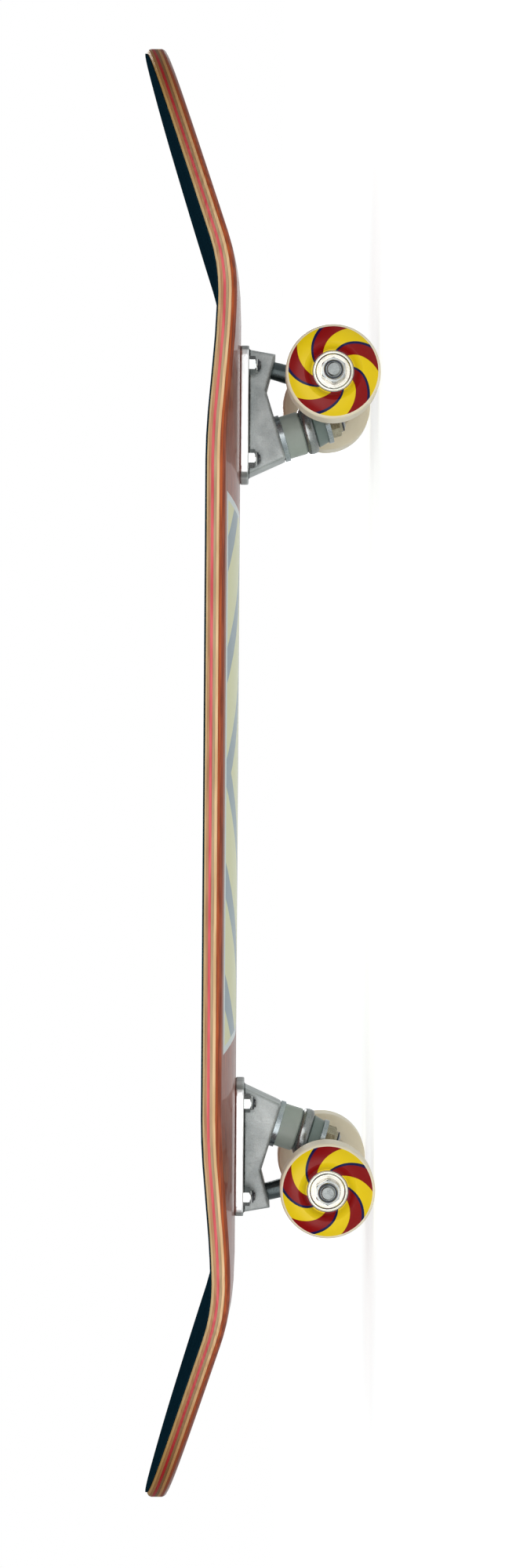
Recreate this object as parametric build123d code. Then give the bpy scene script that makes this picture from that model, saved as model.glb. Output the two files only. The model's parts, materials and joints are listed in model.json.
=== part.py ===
from build123d import *
import os
from math import asin, atan2, cos, degrees, radians, sin, tan

# Skateboard, in millimetres. X runs along the board with the nose at +X, Y across it and Z up.
# The origin is on the ground under the middle of the deck's length.

# Deck: seven veneers pressed into one concave board with two kicks
DECK_LENGTH = 843.0
DECK_WIDTH = 206.0
PLY_COUNT = 7
PLY_THICK = 1.45
GLUE_LINE = 0.05
GRIP_THICK = 0.8
EDGE_ROUND = 2.6
KICK_ANGLE = 18.5
BEND_RADIUS = 110.0
FLAT_WIDTH = 56.0
MIDDLE_LIFT = 7.7
KICK_LIFT = 1.8
LIFT_RAMP = 92.0
RAMP_STEPS = 6
SIDE_ARC = 260.0
TIP_ARC = 84.0
NOSE_REACH = 185.2
NOSE_FLAT = 30.0
TAIL_REACH = 176.8
TAIL_FLAT = 39.0

# Truck mounting hardware
BOLT_PITCH_LONG = 53.98
BOLT_PITCH_ACROSS = 41.28
BOLT_DIAMETER = 4.8
BOLT_HOLE = 5.4
BOLT_HEAD = 9.6
BOLT_PROUD = 1.6
RECESS_LENGTH = 4.6
RECESS_WIDTH = 1.0
RECESS_DEPTH = 1.8
MOUNT_NUT_FLATS = 9.5
MOUNT_NUT_HEX = 3.8
MOUNT_NUT_COLLAR = 1.5
NUT_COLLAR_SHARE = 0.88
NUT_DOME_SHARE = 0.7
NUT_BEVEL_DROP = 0.125

# Baseplate, cast: a bolting flange with a raised body that holds the kingpin and the pivot cup.
# Places on a truck are given from the middle of its bolt pattern: outward, and down from the deck.
TRUCK_HEIGHT = 52.0
PLATE_LENGTH = 76.4
PLATE_WIDTH = 55.0
PLATE_THICK = 5.0
PLATE_CORNER = 6.0
BODY_WIDTH = 29.4
BODY_ROUND = 1.2
BODY_FOOT_IN = -35.4
BODY_TOE_IN = -25.4
NOTCH_OUT = 13.2
HEEL_OUT = 34.3
BODY_FOOT_OUT = 37.0
KINGPIN_TILT = 17.0
SEAT_OUT = -13.6
SEAT_DOWN = 23.2
HEEL_SLOPE = 14.6

# Kingpin stack, from the baseplate's seat towards the ground
KINGPIN_DIAMETER = 9.53
KINGPIN_HEAD_FLATS = 14.3
KINGPIN_HEAD = 6.0
KINGPIN_HEAD_COVER = 3.2
KINGPIN_PROUD = 1.6
UPPER_WASHER = 1.5
CUP_LIP = 1.3
CUP_WALL = 0.8
BOARD_BUSHING_DIAMETER = 25.4
BOARD_BUSHING = 12.4
ROAD_BUSHING_WIDE = 22.6
ROAD_BUSHING_NARROW = 18.6
ROAD_BUSHING = 8.0
BUSHING_EDGE = 0.8
LOWER_WASHER = 1.4
KINGPIN_NUT_FLATS = 14.3
KINGPIN_NUT_HEX = 5.6
KINGPIN_NUT_COLLAR = 1.7

# Hanger, cast: kingpin ring, pivot pin, axle beam and the wings between them
RING_DIAMETER = 27.8
RING_BORE = 15.4
RING_THICK = 6.8
RING_ROUND = 2.4
PIVOT_OUT = 26.7
PIVOT_DEPTH = 3.5
PIVOT_RADIUS = 5.0
PIVOT_NECK_RADIUS = 5.2
PIVOT_ROOT_RADIUS = 8.6
PIVOT_CUP_RADIUS = 7.2
PIVOT_CUP_FLARE = 9.5
AXLE_OUT = 14.5
HANGER_WIDTH = 133.4
BEAM_MIDDLE_RADIUS = 9.6
BEAM_END_RADIUS = 7.4
WING_RING_WIDTH = 21.0
WING_AXLE_WIDTH = 96.0
WING_RING_THICK = 9.0
WING_AXLE_THICK = 12.0
GUSSET_WIDTH = 10.0
NUT_WELL = 13.2

# Axle, bearings and wheels
AXLE_DIAMETER = 7.94
AXLE_PROUD = 1.8
AXLE_CHAMFER = 0.7
AXLE_NUT_FLATS = 12.7
AXLE_NUT_HEX = 5.2
AXLE_NUT_COLLAR = 1.8
SPEED_WASHER = 1.0
SPEED_WASHER_DIAMETER = 11.8
BEARING_DIAMETER = 22.0
BEARING_WIDTH = 7.0
BEARING_SPACING = 24.5
INNER_RACE_DIAMETER = 12.1
OUTER_RACE_BORE = 17.8
BALL_DIAMETER = 3.97
BALL_CIRCLE = 15.0
BALL_COUNT = 7
SHIELD_THICK = 0.3
SHIELD_RECESS = 0.3
CAGE_WALL = 1.5
CAGE_BACK = 0.65
CAGE_FRONT = 0.6
SPACER_DIAMETER = 10.2
WHEEL_DIAMETER = 53.0
WHEEL_WIDTH = 32.0
TREAD_WIDTH = 20.0
CORE_BORE = 18.4
HUB_LIP = 12.4
FACE_CREST = 16.3
FACE_EDGE = 24.3
FACE_FALL = 3.2

# Clearances
PRESS_GAP = 0.03
SHAFT_GAP = 0.05
RUN_GAP = 0.05
BUSH_GAP = 0.05
BORE_GAP = 0.25
BUSHING_SWING = 1.5
PIVOT_GAP = 0.3
SHIELD_GAP = 0.2
OVERRUN = 14.0

# Worked-out sizes
DECK_THICK = PLY_COUNT * PLY_THICK + (PLY_COUNT - 1) * GLUE_LINE
DECK_BOTTOM = WHEEL_DIAMETER / 2 + TRUCK_HEIGHT
FRONT_X = DECK_LENGTH / 2 - NOSE_REACH - BOLT_PITCH_LONG / 2
REAR_X = -DECK_LENGTH / 2 + TAIL_REACH + BOLT_PITCH_LONG / 2
NOSE_BEND_X = DECK_LENGTH / 2 - NOSE_REACH + NOSE_FLAT
TAIL_BEND_X = DECK_LENGTH / 2 - TAIL_REACH + TAIL_FLAT
GRIP_LEVEL = DECK_THICK + GLUE_LINE
BOLT_TOP = GRIP_LEVEL + GRIP_THICK
BOLT_PLACES = GridLocations(BOLT_PITCH_LONG, BOLT_PITCH_ACROSS, 2, 2).locations
FRONT_PLACE = Pos(FRONT_X, 0, DECK_BOTTOM)
REAR_PLACE = Pos(REAR_X, 0, DECK_BOTTOM) * Rot(0, 0, 180)
UPRIGHT = (Align.CENTER, Align.CENTER, Align.MIN)


# Deck

def concave_points(lift, level):
    """The flat's edge, a middle point and the overrun end of one level of a cross-section."""
    reach = DECK_WIDTH / 2 - FLAT_WIDTH / 2
    radius = (reach**2 + lift**2) / (2 * lift)
    sweep = asin((reach + OVERRUN) / radius)
    arm = radius - level
    middle = (FLAT_WIDTH / 2 + arm * sin(sweep / 2), radius - arm * cos(sweep / 2))
    end = (FLAT_WIDTH / 2 + arm * sin(sweep), radius - arm * cos(sweep))
    return (FLAT_WIDTH / 2, level), middle, end


def wing_section(lift, low, high):
    """One side of a cross-section between two levels above the deck's underside."""
    foot, foot_middle, foot_end = concave_points(lift, low)
    head, head_middle, head_end = concave_points(lift, high)
    return make_face([
        ThreePointArc(foot, foot_middle, foot_end),
        Line(foot_end, head_end),
        ThreePointArc(head_end, head_middle, head),
        Line(head, foot),
    ])


def full_section(lift, low, high):
    """A whole cross-section: a flat middle that rises in an arc to each side."""
    flat = Pos(0, (low + high) / 2) * Rectangle(FLAT_WIDTH, high - low)
    wing = wing_section(lift, low, high)
    return flat + wing + mirror(wing, Plane.YZ)


def station(x, z=DECK_BOTTOM, climb=0):
    """A plane square to the deck's run, with its own x across the board and its own y up."""
    return Plane(origin=(x, 0, z), x_dir=(0, 1, 0), z_dir=(cos(radians(climb)), 0, sin(radians(climb))))


def ramp_lift(share):
    """The edge lift along a ramp: an even S-curve from the middle's lift to the kick's."""
    return MIDDLE_LIFT + (KICK_LIFT - MIDDLE_LIFT) * share**2 * (3 - 2 * share)


def end_pieces(bend_x, low, high):
    """The ramp, the bend and the kick of the nose end, between two levels."""
    start = bend_x - LIFT_RAMP
    stations = [step / RAMP_STEPS for step in range(RAMP_STEPS + 1)]
    wing = loft([
        station(start + share * LIFT_RAMP) * wing_section(ramp_lift(share), low, high) for share in stations
    ])
    strip = station(start) * Pos(0, (low + high) / 2) * Rectangle(FLAT_WIDTH, high - low)
    strip = extrude(strip, LIFT_RAMP)
    bend_axis = Axis((bend_x, 0, DECK_BOTTOM + BEND_RADIUS), (0, -1, 0))
    bend = revolve(station(bend_x) * full_section(KICK_LIFT, low, high), bend_axis, KICK_ANGLE)
    climb = radians(KICK_ANGLE)
    kick_x = bend_x + BEND_RADIUS * sin(climb)
    kick_z = DECK_BOTTOM + BEND_RADIUS * (1 - cos(climb))
    kick_run = (DECK_LENGTH / 2 - kick_x + OVERRUN) / cos(climb)
    kick = extrude(station(kick_x, kick_z, KICK_ANGLE) * full_section(KICK_LIFT, low, high), kick_run)
    return [wing, mirror(wing, Plane.XZ), strip, bend, kick]


def pressed_slab(low, high):
    """The pressed form between two levels, wider and longer than the deck."""
    middle_start = LIFT_RAMP - TAIL_BEND_X
    middle_end = NOSE_BEND_X - LIFT_RAMP
    middle = extrude(station(middle_start) * full_section(MIDDLE_LIFT, low, high), middle_end - middle_start)
    nose = end_pieces(NOSE_BEND_X, low, high)
    tail = [piece.rotate(Axis.Z, 180) for piece in end_pieces(TAIL_BEND_X, low, high)]
    return middle.fuse(*nose, *tail)


def half_outline(inset):
    """The plan of one end of the deck: a straight side, a long side arc and a round tip."""
    half = DECK_WIDTH / 2 - inset
    side = SIDE_ARC - inset
    tip = TIP_ARC - inset
    tip_x = DECK_LENGTH / 2 - TIP_ARC
    side_x = tip_x - ((side - tip) ** 2 - (side - half) ** 2) ** 0.5
    turn = degrees(atan2(side - half, tip_x - side_x))
    return make_face([
        Line((0, -half), (side_x, -half)),
        CenterArc((side_x, side - half), side, -90, 90 - turn),
        CenterArc((tip_x, 0), tip, -turn, 2 * turn),
        CenterArc((side_x, half - side), side, turn, 90 - turn),
        Line((side_x, half), (0, half)),
        Line((0, half), (0, -half)),
    ])


def plan_prism(inset):
    """A tall prism of the deck's plan, drawn in by an inset."""
    half = half_outline(inset)
    return extrude(half + Rot(0, 0, 180) * half, 4 * DECK_BOTTOM)


def bolt_tools(radius):
    """Upright rods through the deck at all eight bolt places, each with its countersink."""
    countersink = BOLT_HEAD / 2 - BOLT_DIAMETER / 2
    low = Pos(0, 0, BOLT_TOP - countersink)
    cone = low * Cone(radius, radius + countersink, countersink, align=UPRIGHT)
    rod = Cylinder(radius, 2 * BOLT_TOP)
    tool = rod + cone
    return [place * spot * tool for place in (FRONT_PLACE, REAR_PLACE) for spot in BOLT_PLACES]


def rim_edges(solid):
    """The upper and lower edges of the deck's upright rim."""
    rim = [face for face in solid.faces() if abs(face.normal_at().Z) < 0.02]
    return [edge for face in rim for edge in face.edges() if abs((edge % 0.5).Z) < 0.9]


def deck_blank():
    """The whole laminate: pressed, cut to its plan and rounded along its rim."""
    blank = (pressed_slab(0, DECK_THICK) & plan_prism(0)).solid()
    return fillet(rim_edges(blank), EDGE_ROUND)


def deck_plies():
    """The veneers, from the underside up, parted by thin glue lines and drilled."""
    blank = deck_blank()
    plies = []
    for number in range(PLY_COUNT):
        low = number * (PLY_THICK + GLUE_LINE)
        high = low + PLY_THICK
        if number == 0:
            low = -PLY_THICK
        if number == PLY_COUNT - 1:
            high = DECK_THICK + PLY_THICK
        plies.append((blank & pressed_slab(low, high)) - bolt_tools(BOLT_HOLE / 2))
    return plies


def grip_tape():
    """The abrasive sheet on top, trimmed where the rim's rounding begins."""
    sheet = pressed_slab(GRIP_LEVEL, GRIP_LEVEL + GRIP_THICK) & plan_prism(EDGE_ROUND)
    return sheet - bolt_tools(BOLT_HOLE / 2)


# Fasteners

def lock_nut(flats, hex_height, collar_height, bore):
    """A hexagon nut with chamfered corners and a domed collar, standing on z = 0."""
    corner = flats / 2 / cos(radians(30))
    body = extrude(RegularPolygon(flats / 2, 6, major_radius=False), hex_height)
    bevel = Cone(corner + hex_height, corner - hex_height, 2 * hex_height, align=UPRIGHT)
    body = body & Pos(0, 0, -NUT_BEVEL_DROP * hex_height) * bevel
    dome = Pos(0, 0, hex_height) * Cylinder(NUT_COLLAR_SHARE * flats / 2, collar_height, align=UPRIGHT)
    dome = fillet(dome.edges().group_by(Axis.Z)[-1], NUT_DOME_SHARE * collar_height)
    return body + dome - Cylinder(bore / 2, 4 * hex_height)


def mounting_bolt():
    """A countersunk bolt, its head flush with the grip tape and its end just past the nut."""
    countersink = BOLT_HEAD / 2 - BOLT_DIAMETER / 2
    end = -PLATE_THICK - MOUNT_NUT_HEX - MOUNT_NUT_COLLAR - BOLT_PROUD
    shank = Pos(0, 0, end) * Cylinder(BOLT_DIAMETER / 2, BOLT_TOP - end, align=UPRIGHT)
    shank = chamfer(shank.edges().group_by(Axis.Z)[0], BOLT_DIAMETER / 10)
    head = Cone(BOLT_DIAMETER / 2, BOLT_HEAD / 2, countersink, align=UPRIGHT)
    head = Pos(0, 0, BOLT_TOP - countersink) * head
    slot = Pos(0, 0, BOLT_TOP) * Box(RECESS_LENGTH, RECESS_WIDTH, 2 * RECESS_DEPTH)
    return shank + head - slot - slot.rotate(Axis.Z, 90)


def at_bolts(piece):
    """One copy of a piece at each of the eight bolt places."""
    return [place * spot * piece for place in (FRONT_PLACE, REAR_PLACE) for spot in BOLT_PLACES]


# Truck, built with outward along +X and the deck's underside at z = 0

SEAT_TURN = radians(KINGPIN_TILT)
KINGPIN_WAY = Vector(sin(SEAT_TURN), 0, -cos(SEAT_TURN))
SEAT = Vector(SEAT_OUT, 0, -SEAT_DOWN)
KINGPIN_PLANE = Plane(origin=SEAT, x_dir=(cos(SEAT_TURN), 0, sin(SEAT_TURN)), z_dir=KINGPIN_WAY)
PIVOT_WAY = Vector(-sin(radians(HEEL_SLOPE)), 0, -cos(radians(HEEL_SLOPE)))

# Steps along the kingpin, from the seat
STACK_BOARD_BUSHING = UPPER_WASHER
STACK_RING = STACK_BOARD_BUSHING + BOARD_BUSHING + BUSH_GAP
STACK_ROAD_BUSHING = STACK_RING + RING_THICK + BUSH_GAP
STACK_LOWER_WASHER = STACK_ROAD_BUSHING + ROAD_BUSHING
STACK_NUT = STACK_LOWER_WASHER + LOWER_WASHER
STACK_END = STACK_NUT + KINGPIN_NUT_HEX + KINGPIN_NUT_COLLAR + KINGPIN_PROUD


def seat_height(out):
    """The height of the kingpin seat's face at a place outward."""
    return -SEAT_DOWN + (out - SEAT_OUT) * tan(SEAT_TURN)


def heel_height(out):
    """The height of the heel's face, which meets the seat's face in the notch."""
    return seat_height(NOTCH_OUT) - (out - NOTCH_OUT) * tan(radians(HEEL_SLOPE))


PIVOT = Vector(PIVOT_OUT, 0, heel_height(PIVOT_OUT)) - PIVOT_WAY * PIVOT_DEPTH
PIVOT_PLANE = Plane(origin=PIVOT, x_dir=(0, 1, 0), z_dir=PIVOT_WAY)
RING_CENTRE = SEAT + KINGPIN_WAY * (STACK_RING + RING_THICK / 2)
AXLE_CENTRE = Vector(AXLE_OUT, 0, -TRUCK_HEIGHT)


def pivot_cup_blank(radius, mouth):
    """The outer form of the pivot cup: a short barrel with a round bottom."""
    barrel = Cylinder(radius, mouth, align=UPRIGHT)
    bottom = split(Sphere(radius), bisect_by=Plane.XY, keep=Keep.BOTTOM)
    return PIVOT_PLANE * (barrel + bottom)


def pivot_cup():
    """The urethane cup that the hanger's pivot pin turns in, with a flared mouth."""
    seat = PIVOT_RADIUS + PIVOT_GAP
    flare = PIVOT_DEPTH * tan(radians(PIVOT_CUP_FLARE))
    mouth = Cone(seat, seat + flare, PIVOT_DEPTH, align=UPRIGHT)
    return pivot_cup_blank(PIVOT_CUP_RADIUS, PIVOT_DEPTH) - PIVOT_PLANE * (mouth + Sphere(seat))


def baseplate():
    """The casting that is bolted to the deck."""
    flange = extrude(RectangleRounded(PLATE_LENGTH, PLATE_WIDTH, PLATE_CORNER), -PLATE_THICK)
    root = -PLATE_THICK / 2
    profile = make_face(Polyline(
        (BODY_FOOT_IN, root),
        (BODY_FOOT_IN, -PLATE_THICK),
        (BODY_TOE_IN, seat_height(BODY_TOE_IN)),
        (NOTCH_OUT, seat_height(NOTCH_OUT)),
        (HEEL_OUT, heel_height(HEEL_OUT)),
        (BODY_FOOT_OUT, -PLATE_THICK),
        (BODY_FOOT_OUT, root),
        close=True,
    ))
    body = extrude(Plane.XZ * profile, BODY_WIDTH / 2, both=True)
    low_edges = [edge for edge in body.edges() if edge.center().Z < -PLATE_THICK]
    body = fillet([edge for edge in low_edges if abs((edge % 0.5).Y) < 0.5], BODY_ROUND)
    plate = flange + body
    plate = plate - [spot * Cylinder(BOLT_HOLE / 2, 3 * PLATE_THICK) for spot in BOLT_PLACES]
    shaft = Cylinder(KINGPIN_DIAMETER / 2 + SHAFT_GAP, 4 * SEAT_DOWN)
    pocket = Pos(0, 0, head_face()) * extrude(
        RegularPolygon(KINGPIN_HEAD_FLATS / 2 + BORE_GAP, 6, major_radius=False), -2 * SEAT_DOWN
    )
    plate = plate - KINGPIN_PLANE * (shaft + pocket)
    return plate - pivot_cup_blank(PIVOT_CUP_RADIUS + PRESS_GAP, PIVOT_DEPTH + PLATE_THICK)


def head_face():
    """The step along the kingpin where its head bears, so deep that the head stays under the deck."""
    return KINGPIN_HEAD_COVER + KINGPIN_HEAD - SEAT_DOWN / cos(SEAT_TURN)


def kingpin():
    """The bolt that holds the bushings: a hexagon head in the baseplate and a long shank."""
    head = Pos(0, 0, head_face()) * extrude(
        RegularPolygon(KINGPIN_HEAD_FLATS / 2, 6, major_radius=False), -KINGPIN_HEAD
    )
    length = STACK_END - head_face()
    shank = Pos(0, 0, head_face()) * Cylinder(KINGPIN_DIAMETER / 2, length, align=UPRIGHT)
    shank = chamfer(shank.edges().group_by(Axis.Z)[-1], KINGPIN_DIAMETER / 10)
    return KINGPIN_PLANE * (head + shank)


def cup_washer(start, thick, bushing_radius, lip_place):
    """A cup washer: a flat ring whose lip folds over the bushing's end."""
    bore = KINGPIN_DIAMETER / 2 + BORE_GAP
    inner = bushing_radius + BORE_GAP
    outer = inner + CUP_WALL
    ring = extrude(Circle(outer) - Circle(bore), thick)
    lip = Pos(0, 0, lip_place) * extrude(Circle(outer) - Circle(inner), CUP_LIP)
    return KINGPIN_PLANE * Pos(0, 0, start) * (ring + lip)


def upper_washer():
    return cup_washer(0, UPPER_WASHER, BOARD_BUSHING_DIAMETER / 2, UPPER_WASHER)


def lower_washer():
    taper = (ROAD_BUSHING_WIDE - ROAD_BUSHING_NARROW) / 2 / ROAD_BUSHING
    bushing_radius = ROAD_BUSHING_NARROW / 2 + CUP_LIP * taper
    return cup_washer(STACK_LOWER_WASHER, LOWER_WASHER, bushing_radius, -CUP_LIP)


def board_bushing():
    """The barrel bushing between the deck's side washer and the ring."""
    barrel = extrude(Circle(BOARD_BUSHING_DIAMETER / 2), BOARD_BUSHING)
    barrel = fillet(barrel.edges(), BUSHING_EDGE)
    barrel = barrel - Cylinder(KINGPIN_DIAMETER / 2 + BORE_GAP, 4 * BOARD_BUSHING)
    return KINGPIN_PLANE * Pos(0, 0, STACK_BOARD_BUSHING) * barrel


def road_bushing():
    """The cone bushing between the ring and the road-side washer."""
    cone = Cone(ROAD_BUSHING_WIDE / 2, ROAD_BUSHING_NARROW / 2, ROAD_BUSHING, align=UPRIGHT)
    cone = fillet(cone.edges(), BUSHING_EDGE)
    cone = cone - Cylinder(KINGPIN_DIAMETER / 2 + BORE_GAP, 4 * ROAD_BUSHING)
    return KINGPIN_PLANE * Pos(0, 0, STACK_ROAD_BUSHING) * cone


def kingpin_nut():
    nut = lock_nut(KINGPIN_NUT_FLATS, KINGPIN_NUT_HEX, KINGPIN_NUT_COLLAR, KINGPIN_DIAMETER + 2 * SHAFT_GAP)
    return KINGPIN_PLANE * Pos(0, 0, STACK_NUT) * nut


def pivot_pin():
    """The hanger's pivot: a round nose, a neck and a flaring root that runs into the beam."""
    root = (AXLE_CENTRE - PIVOT).dot(PIVOT_WAY)
    slant = PIVOT_RADIUS * cos(radians(45))
    waist = (PIVOT_NECK_RADIUS * 3 + PIVOT_ROOT_RADIUS) / 4
    profile = make_face([
        ThreePointArc((0, -PIVOT_RADIUS), (slant, -slant), (PIVOT_RADIUS, 0)),
        Line((PIVOT_RADIUS, 0), (PIVOT_NECK_RADIUS, PIVOT_DEPTH)),
        ThreePointArc((PIVOT_NECK_RADIUS, PIVOT_DEPTH), (waist, root / 2), (PIVOT_ROOT_RADIUS, root)),
        Line((PIVOT_ROOT_RADIUS, root), (0, root)),
        Line((0, root), (0, -PIVOT_RADIUS)),
    ])
    return PIVOT_PLANE * revolve(Plane.XZ * profile, Axis.Z)


def hanger_ring():
    """The rounded ring that the two bushings grip."""
    ring = extrude(Circle(RING_DIAMETER / 2), RING_THICK)
    ring = fillet(ring.edges(), RING_ROUND)
    return KINGPIN_PLANE * Pos(0, 0, STACK_RING) * ring


def axle_beam():
    """The beam along the axle, stout in the middle and slimmer at its ends."""
    half = HANGER_WIDTH / 2
    stout = WING_RING_WIDTH / 2
    profile = make_face(Polyline(
        (0, -half),
        (BEAM_END_RADIUS, -half),
        (BEAM_MIDDLE_RADIUS, -stout),
        (BEAM_MIDDLE_RADIUS, stout),
        (BEAM_END_RADIUS, half),
        (0, half),
        close=True,
    ))
    return Pos(*AXLE_CENTRE) * revolve(profile, Axis.Y)


def ring_rim():
    """The middle of the ring's wall on its outward side."""
    return RING_CENTRE + KINGPIN_PLANE.x_dir * (RING_BORE + RING_DIAMETER) / 4


def hanger_wings():
    """The wings that spread from the ring's rim to the beam's ends."""
    rim = ring_rim()
    way = (AXLE_CENTRE - rim).normalized()
    near = Plane(origin=rim, x_dir=(0, 1, 0), z_dir=way)
    far = Plane(origin=AXLE_CENTRE, x_dir=(0, 1, 0), z_dir=way)
    corner = WING_RING_THICK / 3
    return loft([
        near * RectangleRounded(WING_RING_WIDTH, WING_RING_THICK, corner),
        far * RectangleRounded(WING_AXLE_WIDTH, WING_AXLE_THICK, corner),
    ])


def hanger_gusset():
    """The upright web that ties the pivot's root to the ring and the beam."""
    rim = ring_rim()
    neck = PIVOT + PIVOT_WAY * (PIVOT_DEPTH + 2 * PIVOT_RADIUS)
    profile = make_face([
        Line((rim.X, rim.Z), (AXLE_CENTRE.X, AXLE_CENTRE.Z)),
        Line((AXLE_CENTRE.X, AXLE_CENTRE.Z), (neck.X, neck.Z)),
        RadiusArc((neck.X, neck.Z), (rim.X, rim.Z), (neck - rim).length),
    ])
    return extrude(Plane.XZ * profile, GUSSET_WIDTH / 2, both=True)


def hanger():
    """The whole casting, cleared round the bushings and the kingpin nut, and bored."""
    casting = axle_beam() + [hanger_wings(), hanger_gusset(), pivot_pin()]
    above = Pos(0, 0, STACK_RING) * extrude(Circle(BOARD_BUSHING_DIAMETER / 2 + BUSHING_SWING), -STACK_END)
    below = Pos(NUT_WELL - STACK_END, 0, STACK_RING + RING_THICK) * Box(
        2 * STACK_END, HANGER_WIDTH, STACK_END, align=UPRIGHT
    )
    casting = casting - KINGPIN_PLANE * above - KINGPIN_PLANE * below + hanger_ring()
    bore = Pos(*AXLE_CENTRE) * Rot(90, 0, 0) * Cylinder(AXLE_DIAMETER / 2 + PRESS_GAP, 2 * HANGER_WIDTH)
    well = KINGPIN_PLANE * Cylinder(RING_BORE / 2, 4 * STACK_END)
    return casting - bore - well


# Axle, bearings and wheels. Across the truck they follow each other outward from the hanger's end.

ACROSS_BEARINGS = HANGER_WIDTH / 2 + SPEED_WASHER
ACROSS_WHEEL = ACROSS_BEARINGS + BEARING_SPACING / 2
ACROSS_NUT = ACROSS_BEARINGS + BEARING_SPACING + SPEED_WASHER
AXLE_END = ACROSS_NUT + AXLE_NUT_HEX + AXLE_NUT_COLLAR + AXLE_PROUD
BEARING_OFFSETS = (BEARING_WIDTH / 2 - BEARING_SPACING / 2, BEARING_SPACING / 2 - BEARING_WIDTH / 2)
SIDE_TURNS = (Rot(90, 0, 0), Rot(-90, 0, 0))


def hub_tube(start, height, outer, inner):
    """A plain ring round the axle, with z running outward from the middle of the truck."""
    return Pos(0, 0, start) * extrude(Circle(outer / 2) - Circle(inner / 2), height)


def on_both_sides(piece):
    """A piece built with z outward, placed at both ends of the axle."""
    return [Pos(*AXLE_CENTRE) * turn * piece for turn in SIDE_TURNS]


def axle():
    rod = Cylinder(AXLE_DIAMETER / 2, 2 * AXLE_END)
    rod = chamfer(rod.edges(), AXLE_CHAMFER)
    return Pos(*AXLE_CENTRE) * Rot(90, 0, 0) * rod


def axle_nuts():
    nut = lock_nut(AXLE_NUT_FLATS, AXLE_NUT_HEX, AXLE_NUT_COLLAR, AXLE_DIAMETER + 2 * SHAFT_GAP)
    return on_both_sides(Pos(0, 0, ACROSS_NUT) * nut)


def speed_washers():
    """Four thin washers: one each side of each wheel's pair of bearings."""
    bore = AXLE_DIAMETER + 2 * SHAFT_GAP
    starts = (HANGER_WIDTH / 2, ACROSS_NUT - SPEED_WASHER)
    return [
        piece
        for start in starts
        for piece in on_both_sides(hub_tube(start, SPEED_WASHER, SPEED_WASHER_DIAMETER, bore))
    ]


def ball_track():
    """The round groove that the balls run in, as a torus about z."""
    return Torus(BALL_CIRCLE / 2, BALL_DIAMETER / 2 + RUN_GAP)


def inner_races():
    """Four races clamped on the axle, each with its ball groove."""
    race = hub_tube(-BEARING_WIDTH / 2, BEARING_WIDTH, INNER_RACE_DIAMETER, AXLE_DIAMETER + 2 * PRESS_GAP)
    race = race - ball_track()
    return [
        piece
        for offset in BEARING_OFFSETS
        for piece in on_both_sides(Pos(0, 0, ACROSS_WHEEL + offset) * race)
    ]


def spacers():
    """The tubes between each wheel's two bearings."""
    length = BEARING_SPACING - 2 * BEARING_WIDTH
    tube = hub_tube(ACROSS_WHEEL - length / 2, length, SPACER_DIAMETER, AXLE_DIAMETER + 2 * SHAFT_GAP)
    return on_both_sides(tube)


def wheel_half():
    """Half of the wheel's section, as radius and distance from its middle plane."""
    side = WHEEL_WIDTH / 2
    seat = BEARING_DIAMETER / 2 + PRESS_GAP
    shoulder = BEARING_SPACING / 2 - BEARING_WIDTH
    hub = BEARING_SPACING / 2
    edge = (FACE_EDGE, side - FACE_FALL)
    shallow = (HUB_LIP, hub)
    crest = (FACE_CREST, side)
    return make_face([
        Line((CORE_BORE / 2, 0), (CORE_BORE / 2, shoulder)),
        Line((CORE_BORE / 2, shoulder), (seat, shoulder)),
        Line((seat, shoulder), (seat, hub)),
        Line((seat, hub), shallow),
        RadiusArc(shallow, crest, WHEEL_WIDTH / 4),
        RadiusArc(crest, edge, WHEEL_WIDTH / 2),
        RadiusArc(edge, (WHEEL_DIAMETER / 2, TREAD_WIDTH / 2), WHEEL_WIDTH / 8),
        Line((WHEEL_DIAMETER / 2, TREAD_WIDTH / 2), (WHEEL_DIAMETER / 2, 0)),
        Line((WHEEL_DIAMETER / 2, 0), (CORE_BORE / 2, 0)),
    ])


def wheel():
    """The cast urethane wheel, dished round its bearings and crowned on its faces."""
    half = wheel_half()
    return revolve(Plane.XZ * (half + mirror(half, Plane.XZ)), Axis.Z)


def outer_race():
    race = hub_tube(-BEARING_WIDTH / 2, BEARING_WIDTH, BEARING_DIAMETER, OUTER_RACE_BORE)
    return race - ball_track()


def shield_pair():
    """The two thin shields of one bearing, set just inside its faces."""
    outer = OUTER_RACE_BORE - 2 * PRESS_GAP
    inner = INNER_RACE_DIAMETER + 2 * SHIELD_GAP
    face = BEARING_WIDTH / 2 - SHIELD_RECESS
    return [
        hub_tube(face - SHIELD_THICK, SHIELD_THICK, outer, inner),
        hub_tube(-face, SHIELD_THICK, outer, inner),
    ]


def ball_spots():
    return PolarLocations(BALL_CIRCLE / 2, BALL_COUNT).locations


def ball_cage():
    """A crown cage: a ring behind the balls whose fingers reach between them."""
    back = BALL_DIAMETER / 2 + RUN_GAP + CAGE_BACK
    ring = hub_tube(-back, back + CAGE_FRONT, BALL_CIRCLE + CAGE_WALL, BALL_CIRCLE - CAGE_WALL)
    return ring - [spot * Sphere(BALL_DIAMETER / 2 + RUN_GAP) for spot in ball_spots()]


def in_both_bearings(pieces):
    """Pieces built about one bearing's middle, placed in both bearings of a wheel."""
    return [Pos(0, 0, offset) * piece for offset in BEARING_OFFSETS for piece in pieces]


# Writing the parts

def save(name, pieces):
    """One file for each node; a list becomes one group of separate solids."""
    if isinstance(pieces, list):
        pieces = Compound(children=[solid for piece in pieces for solid in piece.solids()])
    export_step(pieces, f"parts/{name}.step")


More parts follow.
